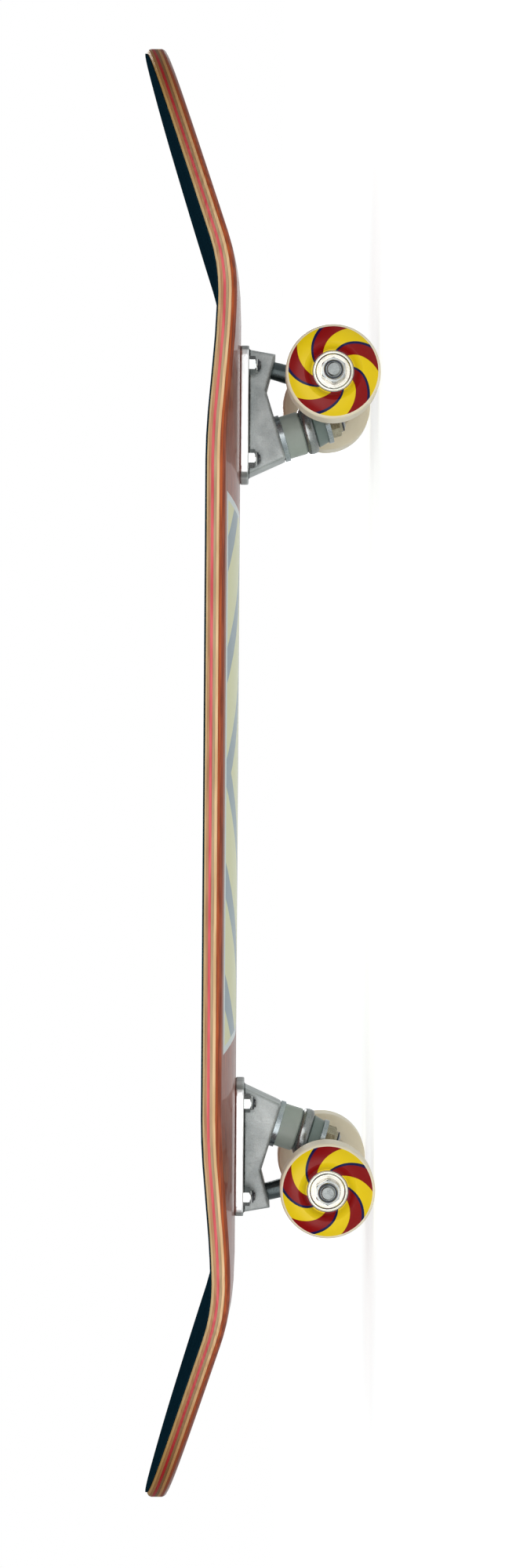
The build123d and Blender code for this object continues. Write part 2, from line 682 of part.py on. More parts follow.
def main():
    os.makedirs("parts", exist_ok=True)
    for number, ply in enumerate(deck_plies(), start=1):
        save(f"ply_{number}", ply)
    save("grip_tape", grip_tape())
    save("mounting_bolts", at_bolts(mounting_bolt()))
    nut = lock_nut(MOUNT_NUT_FLATS, MOUNT_NUT_HEX, MOUNT_NUT_COLLAR, BOLT_DIAMETER + 2 * SHAFT_GAP)
    save("mounting_nuts", at_bolts(Pos(0, 0, -PLATE_THICK) * Rot(180, 0, 0) * nut))

    truck = {
        "baseplate": [baseplate()],
        "pivot_cup": [pivot_cup()],
        "kingpin": [kingpin()],
        "upper_washer": [upper_washer()],
        "board_bushing": [board_bushing()],
        "hanger": [hanger()],
        "road_bushing": [road_bushing()],
        "lower_washer": [lower_washer()],
        "kingpin_nut": [kingpin_nut()],
        "axle": [axle()],
        "axle_nuts": axle_nuts(),
        "speed_washers": speed_washers(),
        "inner_races": inner_races(),
        "spacers": spacers(),
    }
    rolling = {
        "wheel": [wheel()],
        "outer_races": in_both_bearings([outer_race()]),
        "shields": in_both_bearings(shield_pair()),
        "balls": in_both_bearings([spot * Sphere(BALL_DIAMETER / 2) for spot in ball_spots()]),
        "cages": in_both_bearings([ball_cage()]),
    }
    ends = (("front", FRONT_PLACE, ("right", "left")), ("rear", REAR_PLACE, ("left", "right")))
    for end, place, sides in ends:
        for name, pieces in truck.items():
            save(f"{end}_{name}", [place * piece for piece in pieces])
        for side, turn in zip(sides, SIDE_TURNS):
            hub = place * Pos(*AXLE_CENTRE) * turn * Pos(0, 0, ACROSS_WHEEL)
            for name, pieces in rolling.items():
                save(f"{end}_{side}_{name}", [hub * piece for piece in pieces])


main()
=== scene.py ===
# %% [markdown]
# A skateboard seen from its side
#
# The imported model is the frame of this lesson: every solid is already in its place, in metres, with the nose
# towards +X, the ground at Z = 0 and the rider's left at +Y. What follows gives each solid its finish, and builds
# the few pieces whose look needs a finer mesh than a solid has: wheels, bearing rings and shields, bushings,
# castings and threads.

# %% Load the frame
import json
from math import asin, cos, pi, radians, sin

import bmesh
import bpy
from mathutils import Matrix, Vector


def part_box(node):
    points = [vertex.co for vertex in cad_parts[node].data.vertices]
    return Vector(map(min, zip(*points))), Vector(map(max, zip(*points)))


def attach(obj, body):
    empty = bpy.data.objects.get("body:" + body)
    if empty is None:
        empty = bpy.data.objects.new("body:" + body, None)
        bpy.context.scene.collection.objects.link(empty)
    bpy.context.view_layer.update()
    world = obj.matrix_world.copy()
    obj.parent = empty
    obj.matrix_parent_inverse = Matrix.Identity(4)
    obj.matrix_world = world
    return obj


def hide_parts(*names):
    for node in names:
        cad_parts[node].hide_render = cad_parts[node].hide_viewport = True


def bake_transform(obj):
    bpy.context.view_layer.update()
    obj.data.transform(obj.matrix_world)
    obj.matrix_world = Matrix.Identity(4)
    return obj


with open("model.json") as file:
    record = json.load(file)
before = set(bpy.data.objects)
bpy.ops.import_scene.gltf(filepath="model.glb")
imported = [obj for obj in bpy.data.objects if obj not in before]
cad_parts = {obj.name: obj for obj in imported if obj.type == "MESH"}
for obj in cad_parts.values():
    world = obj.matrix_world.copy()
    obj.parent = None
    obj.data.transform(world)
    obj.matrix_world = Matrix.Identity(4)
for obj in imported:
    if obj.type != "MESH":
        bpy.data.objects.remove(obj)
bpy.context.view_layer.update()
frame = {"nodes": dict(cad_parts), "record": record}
MM = 0.001
ENDS = ("front", "rear")
SIDES = ("left", "right")

# %% [markdown]
# Small tools
#
# A few small tools serve every finish. Colours are written as the sRGB values that one reads off a swatch, and
# Blender's shaders reckon in linear light, so one function turns the first into the second. Node trees are long to
# write, so a second function adds one node with its settings, and links an input wherever it is given a socket.
# The others start a new finish, open one that is already made and lay a coat over what it has.

# %% Colour and node tools


def linear(swatch):
    """An sRGB hex colour as linear red, green, blue and alpha."""
    parts = [int(swatch[i:i + 2], 16) / 255 for i in (1, 3, 5)]
    return [p / 12.92 if p <= 0.04045 else ((p + 0.055) / 1.055) ** 2.4 for p in parts] + [1.0]


def add(tree, kind, inputs=(), **settings):
    """One node with its settings; an input takes a plain value or the socket that feeds it."""
    made = tree.nodes.new(kind)
    for name, value in settings.items():
        setattr(made, name, value)
    for name, value in dict(inputs).items():
        if isinstance(value, bpy.types.NodeSocket):
            tree.links.new(value, made.inputs[name])
        else:
            made.inputs[name].default_value = value
    return made


def finish_of(name, shader):
    """An empty material: its tree, its principled shader and the object's own coordinates."""
    material = bpy.data.materials.new(name)
    material.use_nodes = True
    tree = material.node_tree
    principled = tree.nodes["Principled BSDF"]
    for socket, value in shader.items():
        principled.inputs[socket].default_value = value
    place = add(tree, "ShaderNodeTexCoord")
    return material, tree, principled, place


def opened(material):
    """The tree of a finish that is already made, and the object's own coordinates in it."""
    tree = material.node_tree
    return tree, add(tree, "ShaderNodeTexCoord")


def lay(material, mask, coat, socket="Base Color"):
    """Mixes a coat over what already feeds the shader's socket, as far as the mask lets it."""
    tree = material.node_tree
    taker = tree.nodes["Principled BSDF"].inputs[socket]
    layer = {0: mask, 6: taker.links[0].from_socket, 7: coat}
    layer = add(tree, "ShaderNodeMix", layer, data_type="RGBA")
    tree.links.new(layer.outputs[2], taker)


def per_mm(size):
    """The texture scale at which one cell of a pattern is so many millimetres wide."""
    return 1 / (size * MM)


finishes = {}
print("mid grey in linear light:", round(linear("#808080")[0], 3))

# %% [markdown]
# Maple veneer
#
# The deck is pressed from seven sliced maple veneers, some of them stained, and the photograph shows them as thin
# coloured lines along the rim. Grain runs along the board, so a noise is stretched: 24 mm long and about 1 mm wide.
# A second, finer noise gives the open pores of the cut edge, which show as short dark flecks. Past the bends of the
# nose and the tail the cut edge is painted a deeper tone, as painted shade.

# %% Veneer finishes
GRAIN_LONG = 24.0
GRAIN_WIDE = 1.1
PORE_LONG = 5.0
PORE_WIDE = 0.5
STREAK_LOW, STREAK_TOP = 0.36, 0.64
# painted shade: along the board the rim's tone deepens between these two distances
TIP_SHADE_FROM, TIP_SHADE_FULL = 285.0, 395.0
WOOD_SHEEN = 0.3
LACQUER_ROUGH = 0.06
SANDED_SMOOTH, SANDED_ROUGH = 0.38, 0.62
PORE_DEPTH = 0.1


def veneer(name, pale, deep, tip_shade, gloss):
    """Stained maple: streaks between two tones, a darker third at the ends that is painted shade, and pores in the
    roughness and the bump.
    """
    shader = {"Coat Weight": gloss, "Coat Roughness": LACQUER_ROUGH, "Specular IOR Level": WOOD_SHEEN}
    material, tree, principled, place = finish_of(name, shader)
    stretch = (per_mm(GRAIN_LONG), per_mm(GRAIN_WIDE), per_mm(GRAIN_WIDE))
    run = add(tree, "ShaderNodeMapping", {"Vector": place.outputs["Object"], "Scale": stretch})
    grain = add(tree, "ShaderNodeTexNoise", {"Vector": run.outputs[0], "Scale": 1.0, "Detail": 4.0})
    fleck = (per_mm(PORE_LONG), per_mm(PORE_WIDE), per_mm(PORE_WIDE))
    short = add(tree, "ShaderNodeMapping", {"Vector": place.outputs["Object"], "Scale": fleck})
    pores = add(tree, "ShaderNodeTexNoise", {"Vector": short.outputs[0], "Scale": 1.0, "Detail": 2.0})
    spot = add(tree, "ShaderNodeSeparateXYZ", {0: place.outputs["Object"]})
    along = add(tree, "ShaderNodeMath", {0: spot.outputs[0]}, operation="ABSOLUTE")
    tip_shading = {"Value": along.outputs[0], "From Min": TIP_SHADE_FROM * MM, "From Max": TIP_SHADE_FULL * MM}
    tip_shading = add(tree, "ShaderNodeMapRange", tip_shading)
    streak = {"Value": grain.outputs["Fac"], "From Min": STREAK_LOW, "From Max": STREAK_TOP}
    tone = add(tree, "ShaderNodeMapRange", streak)
    wood = add(tree, "ShaderNodeMix", {0: tone.outputs[0], 6: linear(deep), 7: linear(pale)}, data_type="RGBA")
    # painted shade: towards the nose and the tail the wood darkens to the tone at the ends
    stained = {0: tip_shading.outputs[0], 6: wood.outputs[2], 7: linear(tip_shade)}
    wood = add(tree, "ShaderNodeMix", stained, data_type="RGBA")
    rough = {"Value": pores.outputs["Fac"], "To Min": SANDED_SMOOTH, "To Max": SANDED_ROUGH}
    rough = add(tree, "ShaderNodeMapRange", rough)
    relief = {"Height": pores.outputs["Fac"], "Strength": 0.15, "Distance": PORE_DEPTH * MM}
    bump = add(tree, "ShaderNodeBump", relief)
    tree.links.new(wood.outputs[2], principled.inputs["Base Color"])
    tree.links.new(rough.outputs[0], principled.inputs["Roughness"])
    tree.links.new(bump.outputs[0], principled.inputs["Normal"])
    return material


# name, paler tone, deeper tone, painted shade tone at the ends, gloss
finishes["maple_pale"] = veneer("pale_maple_veneer", "#e2c492", "#ccaa78", "#a87e3c", 0.0)
finishes["maple_tan"] = veneer("tan_maple_veneer", "#c08c64", "#a67450", "#8a5c32", 0.0)
finishes["maple_red"] = veneer("red_stained_maple_veneer", "#e06468", "#c8484e", "#900004", 0.0)
finishes["maple_taupe"] = veneer("grey_stained_maple_veneer", "#b89c78", "#a08462", "#6a4620", 0.0)
finishes["maple_cream"] = veneer("cream_maple_veneer", "#e8c294", "#d2a878", "#9c6e3c", 0.0)
finishes["maple_orange"] = veneer("orange_stained_maple_veneer", "#b4521c", "#86360c", "#7c3410", 0.0)
print("veneers:", [material.name for material in finishes.values()])

# %% [markdown]
# Lacquered underside
#
# The lowest veneer is stained red-brown and lacquered, and a pale printed panel of chevrons with a border lies
# between the trucks. Its shapes are worked out from the object's own x and y, so they need no picture: distance
# along the board plus a share of the distance across it, cut into bands, makes the chevrons. The clear lacquer is
# the shader's coat, which takes on the studio's white at a flat angle, as the photograph shows.

# %% Underside finish
PANEL_HALF = 148.0
PANEL_SIDE = 97.0
PANEL_BOW = 0.0009
PANEL_BORDER = 4.0
CHEVRON_PITCH = 62.0
CHEVRON_BAND = 20.0
CHEVRON_SLOPE = 0.8
FACING_DOWN = -0.8
BORDER_INK, PANEL_INK, CHEVRON_INK = "#c9d1d4", "#d3d2a0", "#7f929f"


def lacquered_underside():
    """The stained veneer again, with the panel mixed over it where the surface faces the ground."""
    material = veneer("lacquered_stained_maple", "#a04a2a", "#6c2a10", "#6c2a10", 0.4)
    tree, place = opened(material)
    spot = add(tree, "ShaderNodeSeparateXYZ", {0: place.outputs["Object"]})
    facing = add(tree, "ShaderNodeSeparateXYZ", {0: place.outputs["Normal"]})
    down = add(tree, "ShaderNodeMath", {0: facing.outputs[2], 1: FACING_DOWN}, operation="LESS_THAN")
    along = add(tree, "ShaderNodeMath", {0: spot.outputs[0]}, operation="ABSOLUTE")
    along = add(tree, "ShaderNodeMath", {0: along.outputs[0], 1: 1 / MM}, operation="MULTIPLY")
    across = add(tree, "ShaderNodeMath", {0: spot.outputs[1]}, operation="ABSOLUTE")
    across = add(tree, "ShaderNodeMath", {0: across.outputs[0], 1: 1 / MM}, operation="MULTIPLY")
    square = add(tree, "ShaderNodeMath", {0: across.outputs[0], 1: 2.0}, operation="POWER")
    bow = {0: square.outputs[0], 1: -PANEL_BOW, 2: along.outputs[0]}
    bow = add(tree, "ShaderNodeMath", bow, operation="MULTIPLY_ADD")
    masks = []
    for inset in (0.0, PANEL_BORDER):
        ends = {0: bow.outputs[0], 1: PANEL_HALF - inset}
        ends = add(tree, "ShaderNodeMath", ends, operation="LESS_THAN")
        sides = {0: across.outputs[0], 1: PANEL_SIDE - inset}
        sides = add(tree, "ShaderNodeMath", sides, operation="LESS_THAN")
        both = add(tree, "ShaderNodeMath", {0: ends.outputs[0], 1: sides.outputs[0]}, operation="MULTIPLY")
        both = add(tree, "ShaderNodeMath", {0: both.outputs[0], 1: down.outputs[0]}, operation="MULTIPLY")
        masks.append(both)
    slant = {0: across.outputs[0], 1: CHEVRON_SLOPE, 2: along.outputs[0]}
    slant = add(tree, "ShaderNodeMath", slant, operation="MULTIPLY_ADD")
    band = add(tree, "ShaderNodeMath", {0: slant.outputs[0], 1: CHEVRON_PITCH}, operation="MODULO")
    band = add(tree, "ShaderNodeMath", {0: band.outputs[0], 1: CHEVRON_BAND}, operation="LESS_THAN")
    band = add(tree, "ShaderNodeMath", {0: band.outputs[0], 1: masks[1].outputs[0]}, operation="MULTIPLY")
    for mask, ink in ((masks[0], BORDER_INK), (masks[1], PANEL_INK), (band, CHEVRON_INK)):
        lay(material, mask.outputs[0], linear(ink))
    return material


underside = lacquered_underside()
print("underside:", underside.name)

# %% [markdown]
# Grip tape
#
# The top is a sheet of blue-black abrasive on a cloth back: silicon carbide grit of about half a millimetre, glued
# and coated. Grit that fine would vanish in the render, so the cells are drawn at 0.9 mm. Each cell of the pattern
# is one grain, dark round a lighter middle, and the eye sees no gloss at all, so the specular level is nil.

# %% Grip finish
GRIT = 0.9
GRIT_EDGE = 0.9
GRIT_TALL = 0.3
GRIT_SMOOTH = 0.7
SCUFF = 35.0
SCUFF_FROM = 0.45
SCUFF_SHARE = 0.35
GRAIN_INK, GAP_INK, SCUFF_INK = "#12303e", "#04131b", "#14323f"


def abrasive_sheet():
    """Grains of two tones, a little paler where feet have scuffed them."""
    material, tree, principled, place = finish_of("silicon_carbide_grip", {"Specular IOR Level": 0.0})
    grit = {"Vector": place.outputs["Object"], "Scale": per_mm(GRIT)}
    grain = add(tree, "ShaderNodeTexVoronoi", grit)
    patch = {"Vector": place.outputs["Object"], "Scale": per_mm(SCUFF), "Detail": 3.0}
    scuff = add(tree, "ShaderNodeTexNoise", patch)
    shade = add(tree, "ShaderNodeMapRange", {"Value": grain.outputs["Distance"], "From Max": GRIT_EDGE})
    tones = {0: shade.outputs[0], 6: linear(GRAIN_INK), 7: linear(GAP_INK)}
    tones = add(tree, "ShaderNodeMix", tones, data_type="RGBA")
    worn = {"Value": scuff.outputs["Fac"], "From Min": SCUFF_FROM, "To Max": SCUFF_SHARE}
    worn = add(tree, "ShaderNodeMapRange", worn)
    worn = {0: worn.outputs[0], 6: tones.outputs[2], 7: linear(SCUFF_INK)}
    worn = add(tree, "ShaderNodeMix", worn, data_type="RGBA")
    rough = {"Value": grain.outputs["Distance"], "To Min": GRIT_SMOOTH, "To Max": 1.0}
    rough = add(tree, "ShaderNodeMapRange", rough)
    relief = {"Height": grain.outputs["Distance"], "Strength": 0.7, "Distance": GRIT_TALL * MM}
    bump = add(tree, "ShaderNodeBump", relief)
    tree.links.new(worn.outputs[2], principled.inputs["Base Color"])
    tree.links.new(rough.outputs[0], principled.inputs["Roughness"])
    tree.links.new(bump.outputs[0], principled.inputs["Normal"])
    return material


finishes["grip"] = abrasive_sheet()
print("grip:", finishes["grip"].name)

# %% [markdown]
# Metals
#
# Three kinds of metal meet in a truck. Castings are sand-cast aluminium, tumbled to a satin: a soft mottle and a
# fine grain, which the eye reads as a dull silver with no clear reflections. Nuts and bolts are steel under zinc
# plate, smooth enough to mirror the studio in each facet. Bearing rings and axles are ground steel, brighter and
# finer. One recipe serves them all: two tones, a cloud of roughness and a fine bump, and only the numbers change
# with how the surface was made.

# %% Metal finishes
BROAD = 12
MOTTLE_LOW, MOTTLE_TOP = 0.75, 1.25
CLOUD_LOW, CLOUD_TOP = 0.3, 0.7
RELIEF_SHARE = 0.1


def metal(name, pale, deep, grain, smooth, coarse, relief):
    """A bare metal: a mottle of two tones, with roughness between two values and a grain of that size."""
    material, tree, principled, place = finish_of(name, {"Metallic": 1.0})
    fine = {"Vector": place.outputs["Object"], "Scale": per_mm(grain), "Detail": 3.0}
    fine = add(tree, "ShaderNodeTexNoise", fine)
    broad = {"Vector": place.outputs["Object"], "Scale": per_mm(BROAD * grain), "Detail": 2.0}
    broad = add(tree, "ShaderNodeTexNoise", broad)
    both = {0: fine.outputs["Fac"], 1: broad.outputs["Fac"]}
    both = add(tree, "ShaderNodeMath", both, operation="ADD")
    tone = {"Value": both.outputs[0], "From Min": MOTTLE_LOW, "From Max": MOTTLE_TOP}
    tone = add(tree, "ShaderNodeMapRange", tone)
    tones = {0: tone.outputs[0], 6: linear(deep), 7: linear(pale)}
    tones = add(tree, "ShaderNodeMix", tones, data_type="RGBA")
    spread = {
        "Value": fine.outputs["Fac"], "From Min": CLOUD_LOW, "From Max": CLOUD_TOP,
        "To Min": smooth, "To Max": coarse,
    }
    spread = add(tree, "ShaderNodeMapRange", spread)
    bump = {"Height": fine.outputs["Fac"], "Strength": relief, "Distance": RELIEF_SHARE * grain * MM}
    bump = add(tree, "ShaderNodeBump", bump)
    tree.links.new(tones.outputs[2], principled.inputs["Base Color"])
    tree.links.new(spread.outputs[0], principled.inputs["Roughness"])
    tree.links.new(bump.outputs[0], principled.inputs["Normal"])
    return material


# name, paler tone, deeper tone, grain in mm, smoothest, roughest, relief
finishes["cast_aluminium"] = metal("tumbled_cast_aluminium", "#bcc0bf", "#949999", 0.9, 0.38, 0.56, 0.6)
finishes["hanger_aluminium"] = metal("satin_cast_aluminium", "#a3a6a5", "#84898a", 0.7, 0.24, 0.36, 0.25)
finishes["zinc_steel"] = metal("bright_zinc_plate", "#c6c7c5", "#a4a7a7", 0.6, 0.07, 0.14, 0.04)
finishes["axle_steel"] = metal("ground_axle_steel", "#a0a3a2", "#7a7e7e", 0.4, 0.22, 0.36, 0.12)
finishes["bearing_steel"] = metal("ground_bearing_steel", "#e6e4da", "#d3d1c6", 0.4, 0.1, 0.18, 0.05)
finishes["shield_steel"] = metal("pressed_shield_steel", "#eeeadf", "#dcd7ca", 0.6, 0.24, 0.36, 0.04)
finishes["ball_steel"] = metal("polished_ball_steel", "#eceded", "#dcdddd", 0.3, 0.05, 0.1, 0.03)
finishes["spacer_aluminium"] = metal("turned_aluminium_tube", "#cfd1d2", "#b2b5b7", 0.4, 0.25, 0.38, 0.15)
finishes["black_steel"] = metal("black_oxide_steel", "#2a2b2e", "#151618", 0.5, 0.3, 0.45, 0.15)
washer_steel = metal("dulled_zinc_plate", "#b2b9bb", "#8f989c", 0.6, 0.2, 0.32, 0.06)
kingpin_zinc = metal("olive_zinc_plate", "#b3ad98", "#8c8672", 0.6, 0.18, 0.3, 0.06)
print("metals ready, from", finishes["cast_aluminium"].name, "to", kingpin_zinc.name)

# %% [markdown]
# Painted light and shade on the castings
#
# The castings aren't one grey. The flange's long rims are smoother and painted white as a highlight, a painted
# shadow lies in the corner under it as a thin ragged line, and painted shade darkens the hanger's neck towards its
# pivot. Each could be painted on a map, but all three follow a height or a width, so the object's own coordinates
# place them.

# %% Painted rim highlight, painted flange shadow and painted neck shade
# painted highlight: the flange's rims are coloured white between these two widths
RIM_FROM, RIM_FULL = 26.4, 26.8
RIM_HIGHLIGHT_INK = "#f4f4f4"
RIM_ROUGH = 0.3
# painted shadow under the flange: a thin dark line just below this height
FLANGE_UNDER = 73.5
FLANGE_SHADOW_TALL = 0.7
FLANGE_SHADOW_RAGGED = 1.6
FLANGE_SHADOW_WANDER = 0.7
FLANGE_SHADOW_OVER = 0.1
FLANGE_SHADOW_INK = "#23282a"
BODY_SIDE = 20.0
# painted shade on the hanger's neck between these two heights
NECK_FROM, NECK_FULL = 47.0, 53.0
NECK_SHADE_INK = "#4a5152"


def smooth_rim_with_painted_highlight(material):
    """The flange's two long rims, smoother than the rest and painted white as a highlight."""
    tree, place = opened(material)
    spot = add(tree, "ShaderNodeSeparateXYZ", {0: place.outputs["Object"]})
    across = add(tree, "ShaderNodeMath", {0: spot.outputs[1]}, operation="ABSOLUTE")
    rim = {"Value": across.outputs[0], "From Min": RIM_FROM * MM, "From Max": RIM_FULL * MM}
    rim = add(tree, "ShaderNodeMapRange", rim)
    # painted highlight on the rims
    lay(material, rim.outputs[0], linear(RIM_HIGHLIGHT_INK))
    lay(material, rim.outputs[0], [RIM_ROUGH] * 3 + [1.0], "Roughness")


def painted_flange_shadow(material):
    """A painted shadow: a thin dark line in the corner under the flange, with a ragged lower edge."""
    tree, place = opened(material)
    spot = add(tree, "ShaderNodeSeparateXYZ", {0: place.outputs["Object"]})
    ragged_noise = {"Vector": place.outputs["Object"], "Scale": per_mm(FLANGE_SHADOW_RAGGED), "Detail": 2.0}
    ragged_noise = add(tree, "ShaderNodeTexNoise", ragged_noise)
    ragged = {0: ragged_noise.outputs["Fac"], 1: FLANGE_SHADOW_WANDER * MM, 2: spot.outputs[2]}
    ragged = add(tree, "ShaderNodeMath", ragged, operation="MULTIPLY_ADD")
    low = {0: ragged.outputs[0], 1: (FLANGE_UNDER - FLANGE_SHADOW_TALL + FLANGE_SHADOW_WANDER / 2) * MM}
    low = add(tree, "ShaderNodeMath", low, operation="GREATER_THAN")
    high = {0: spot.outputs[2], 1: (FLANGE_UNDER + FLANGE_SHADOW_OVER) * MM}
    high = add(tree, "ShaderNodeMath", high, operation="LESS_THAN")
    across = add(tree, "ShaderNodeMath", {0: spot.outputs[1]}, operation="ABSOLUTE")
    inner = add(tree, "ShaderNodeMath", {0: across.outputs[0], 1: BODY_SIDE * MM}, operation="LESS_THAN")
    line = add(tree, "ShaderNodeMath", {0: low.outputs[0], 1: high.outputs[0]}, operation="MULTIPLY")
    line = add(tree, "ShaderNodeMath", {0: line.outputs[0], 1: inner.outputs[0]}, operation="MULTIPLY")
    # painted shadow line under the flange
    lay(material, line.outputs[0], linear(FLANGE_SHADOW_INK))


def painted_neck_shade(material):
    """The hanger's neck, with painted shade that darkens it towards its pivot."""
    tree, place = opened(material)
    spot = add(tree, "ShaderNodeSeparateXYZ", {0: place.outputs["Object"]})
    neck = {"Value": spot.outputs[2], "From Min": NECK_FROM * MM, "From Max": NECK_FULL * MM}
    neck = add(tree, "ShaderNodeMapRange", neck)
    # painted shade on the neck
    lay(material, neck.outputs[0], linear(NECK_SHADE_INK))


# Painted highlight on the flange's rims, painted shadow under the flange, painted shade on the neck.
smooth_rim_with_painted_highlight(finishes["cast_aluminium"])
painted_flange_shadow(finishes["cast_aluminium"])
painted_neck_shade(finishes["hanger_aluminium"])
print("worn:", finishes["cast_aluminium"].name, finishes["hanger_aluminium"].name)

# %% [markdown]
# Urethane and nylon
#
# Wheels and bushings are cast urethane, poured into polished moulds: a smooth skin that lets a little light in,
# which the shader's subsurface weight gives. Ball cages and the collars of the lock nuts are moulded nylon. Dust
# and handling dull the skin in soft patches, so a broad noise moves both tone and roughness.

# %% Polymer finishes
GLOW_WEIGHT = 0.15
GLOW_TINT = (1.0, 0.9, 0.75)
PATCH = 9.0
SKIN_GRAIN = 0.7
SKIN_DEPTH = 0.05


def polymer(name, pale, deep, smooth, coarse, depth):
    """A moulded skin: soft patches of two tones and two roughnesses, with light let in to a depth in mm."""
    shader = {
        "Subsurface Weight": GLOW_WEIGHT if depth else 0.0, "Subsurface Scale": depth * MM,
        "Subsurface Radius": GLOW_TINT, "IOR": 1.5,
    }
    material, tree, principled, place = finish_of(name, shader)
    patch = {"Vector": place.outputs["Object"], "Scale": per_mm(PATCH), "Detail": 4.0}
    patch = add(tree, "ShaderNodeTexNoise", patch)
    skin = {"Vector": place.outputs["Object"], "Scale": per_mm(SKIN_GRAIN), "Detail": 2.0}
    skin = add(tree, "ShaderNodeTexNoise", skin)
    tones = {0: patch.outputs["Fac"], 6: linear(deep), 7: linear(pale)}
    tones = add(tree, "ShaderNodeMix", tones, data_type="RGBA")
    spread = {
        "Value": patch.outputs["Fac"], "From Min": CLOUD_LOW, "From Max": CLOUD_TOP,
        "To Min": smooth, "To Max": coarse,
    }
    spread = add(tree, "ShaderNodeMapRange", spread)
    bump = {"Height": skin.outputs["Fac"], "Strength": 0.1, "Distance": SKIN_DEPTH * MM}
    bump = add(tree, "ShaderNodeBump", bump)
    tree.links.new(tones.outputs[2], principled.inputs["Base Color"])
    tree.links.new(spread.outputs[0], principled.inputs["Roughness"])
    tree.links.new(bump.outputs[0], principled.inputs["Normal"])
    return material


# name, paler tone, deeper tone, smoothest, roughest, depth of light in mm
finishes["bushing_urethane"] = polymer("grey_bushing_urethane", "#a9b3ab", "#8f9a92", 0.3, 0.42, 1.0)
finishes["cage_nylon"] = polymer("moulded_nylon", "#e4dfcc", "#d2ccb6", 0.35, 0.5, 0.5)
firm_bushing = polymer("teal_grey_bushing_urethane", "#7c8a87", "#66756f", 0.3, 0.42, 1.0)
collar_nylon = polymer("dark_nylon_collar", "#39414a", "#232a32", 0.35, 0.5, 0.0)
print("polymers ready, from", finishes["bushing_urethane"].name, "to", collar_nylon.name)

# %% [markdown]
# Printed wheel urethane
#
# The tread and the back of a wheel are plain cream urethane. On the outer face lies a pad print in yellow, crimson
# and navy: a pinwheel of swept blades round a thin ring. The wheel carries a UV map that measures the face in
# millimetres from the hub, so radius and angle come from it, and one finish serves all four wheels.

# %% Wheel finish
FACE_SPAN = 60.0
PRINT_INNER = 11.3
PRINT_OUTER = 25.0
RING_LINE = 0.3
BLADES = 5.0
BLADE_SWEEP = 0.05
BLADE_SHARE = 0.42
BLADE_EDGE = 0.09
PRINT_SHEEN = 0.25
YELLOW, CRIMSON, NAVY = "#e2c40a", "#860002", "#0a0d48"


def printed_urethane():
    """Cream urethane with the pinwheel mixed over it inside the printed ring."""
    material = polymer("cream_wheel_urethane", "#efe6cf", "#e2d6ba", 0.3, 0.42, 2.0)
    tree = material.node_tree
    principled = tree.nodes["Principled BSDF"]
    principled.inputs["Specular IOR Level"].default_value = PRINT_SHEEN
    cream = principled.inputs["Base Color"].links[0].from_socket
    face = add(tree, "ShaderNodeUVMap", uv_map="face")
    hub = {0: face.outputs[0], 1: (0.5, 0.5, 0.0)}
    hub = add(tree, "ShaderNodeVectorMath", hub, operation="SUBTRACT")
    hub = add(tree, "ShaderNodeVectorMath", {0: hub.outputs[0], "Scale": FACE_SPAN}, operation="SCALE")
    radius = add(tree, "ShaderNodeVectorMath", {0: hub.outputs[0]}, operation="LENGTH")
    radius = radius.outputs["Value"]
    parts = add(tree, "ShaderNodeSeparateXYZ", {0: hub.outputs[0]})
    angle = {0: parts.outputs[1], 1: parts.outputs[0]}
    angle = add(tree, "ShaderNodeMath", angle, operation="ARCTAN2")
    sector = add(tree, "ShaderNodeMath", {0: angle.outputs[0], 1: BLADES / (2 * pi)}, operation="MULTIPLY")
    swept = {0: radius, 1: BLADE_SWEEP, 2: sector.outputs[0]}
    swept = add(tree, "ShaderNodeMath", swept, operation="MULTIPLY_ADD")
    share = add(tree, "ShaderNodeMath", {0: swept.outputs[0]}, operation="FRACT")
    blade = add(tree, "ShaderNodeMath", {0: share.outputs[0], 1: BLADE_SHARE}, operation="LESS_THAN")
    edged = {0: share.outputs[0], 1: BLADE_SHARE + BLADE_EDGE}
    edged = add(tree, "ShaderNodeMath", edged, operation="LESS_THAN")
    discs = {}
    for limit in (PRINT_OUTER, PRINT_INNER + RING_LINE, PRINT_INNER):
        discs[limit] = add(tree, "ShaderNodeMath", {0: radius, 1: limit}, operation="LESS_THAN").outputs[0]
    lay(material, discs[PRINT_OUTER], linear(YELLOW))
    for mask, ink in ((edged, NAVY), (blade, CRIMSON)):
        inside = {0: mask.outputs[0], 1: discs[PRINT_OUTER]}
        inside = add(tree, "ShaderNodeMath", inside, operation="MULTIPLY")
        lay(material, inside.outputs[0], linear(ink))
    lay(material, discs[PRINT_INNER + RING_LINE], linear(NAVY))
    lay(material, discs[PRINT_INNER], cream)
    return material


finishes["wheel_urethane"] = printed_urethane()
print("wheel finish:", finishes["wheel_urethane"].name)

# %% [markdown]
# Dressing the solids
#
# The record says which slot each solid takes, so a loop hands out the finishes. A few pieces stand out from their
# slot: the lowest veneer, whose face to the ground carries the lacquer and the print, and the kingpin's nut and
# washers, whose zinc has gone dull.

# %% Give every solid its finish


def dress(piece, material):
    """One finish all over a piece."""
    piece.data.materials.clear()
    piece.data.materials.append(material)


for part in frame["record"]["subparts"]:
    dress(frame["nodes"][part["node"]], finishes[part["material_slot"]])
dress(frame["nodes"]["ply_1"], underside)
for end in ENDS:
    dress(frame["nodes"][f"{end}_kingpin_nut"], kingpin_zinc)
    for washer in ("upper", "lower"):
        dress(frame["nodes"][f"{end}_{washer}_washer"], washer_steel)

# %% [markdown]
# Turned pieces
#
# Wheels, bearings and bushings are bodies of revolution, so all come off one lathe: a closed profile of radius and
# distance along a direction is carried round it. The facets of a solid would show on the wheel's rim, and the lathe
# gives 128 smooth steps instead. A wall of quads is laid between each ring of points and the next.

# %% The lathe
STEPS = 128
CORNER = radians(28)


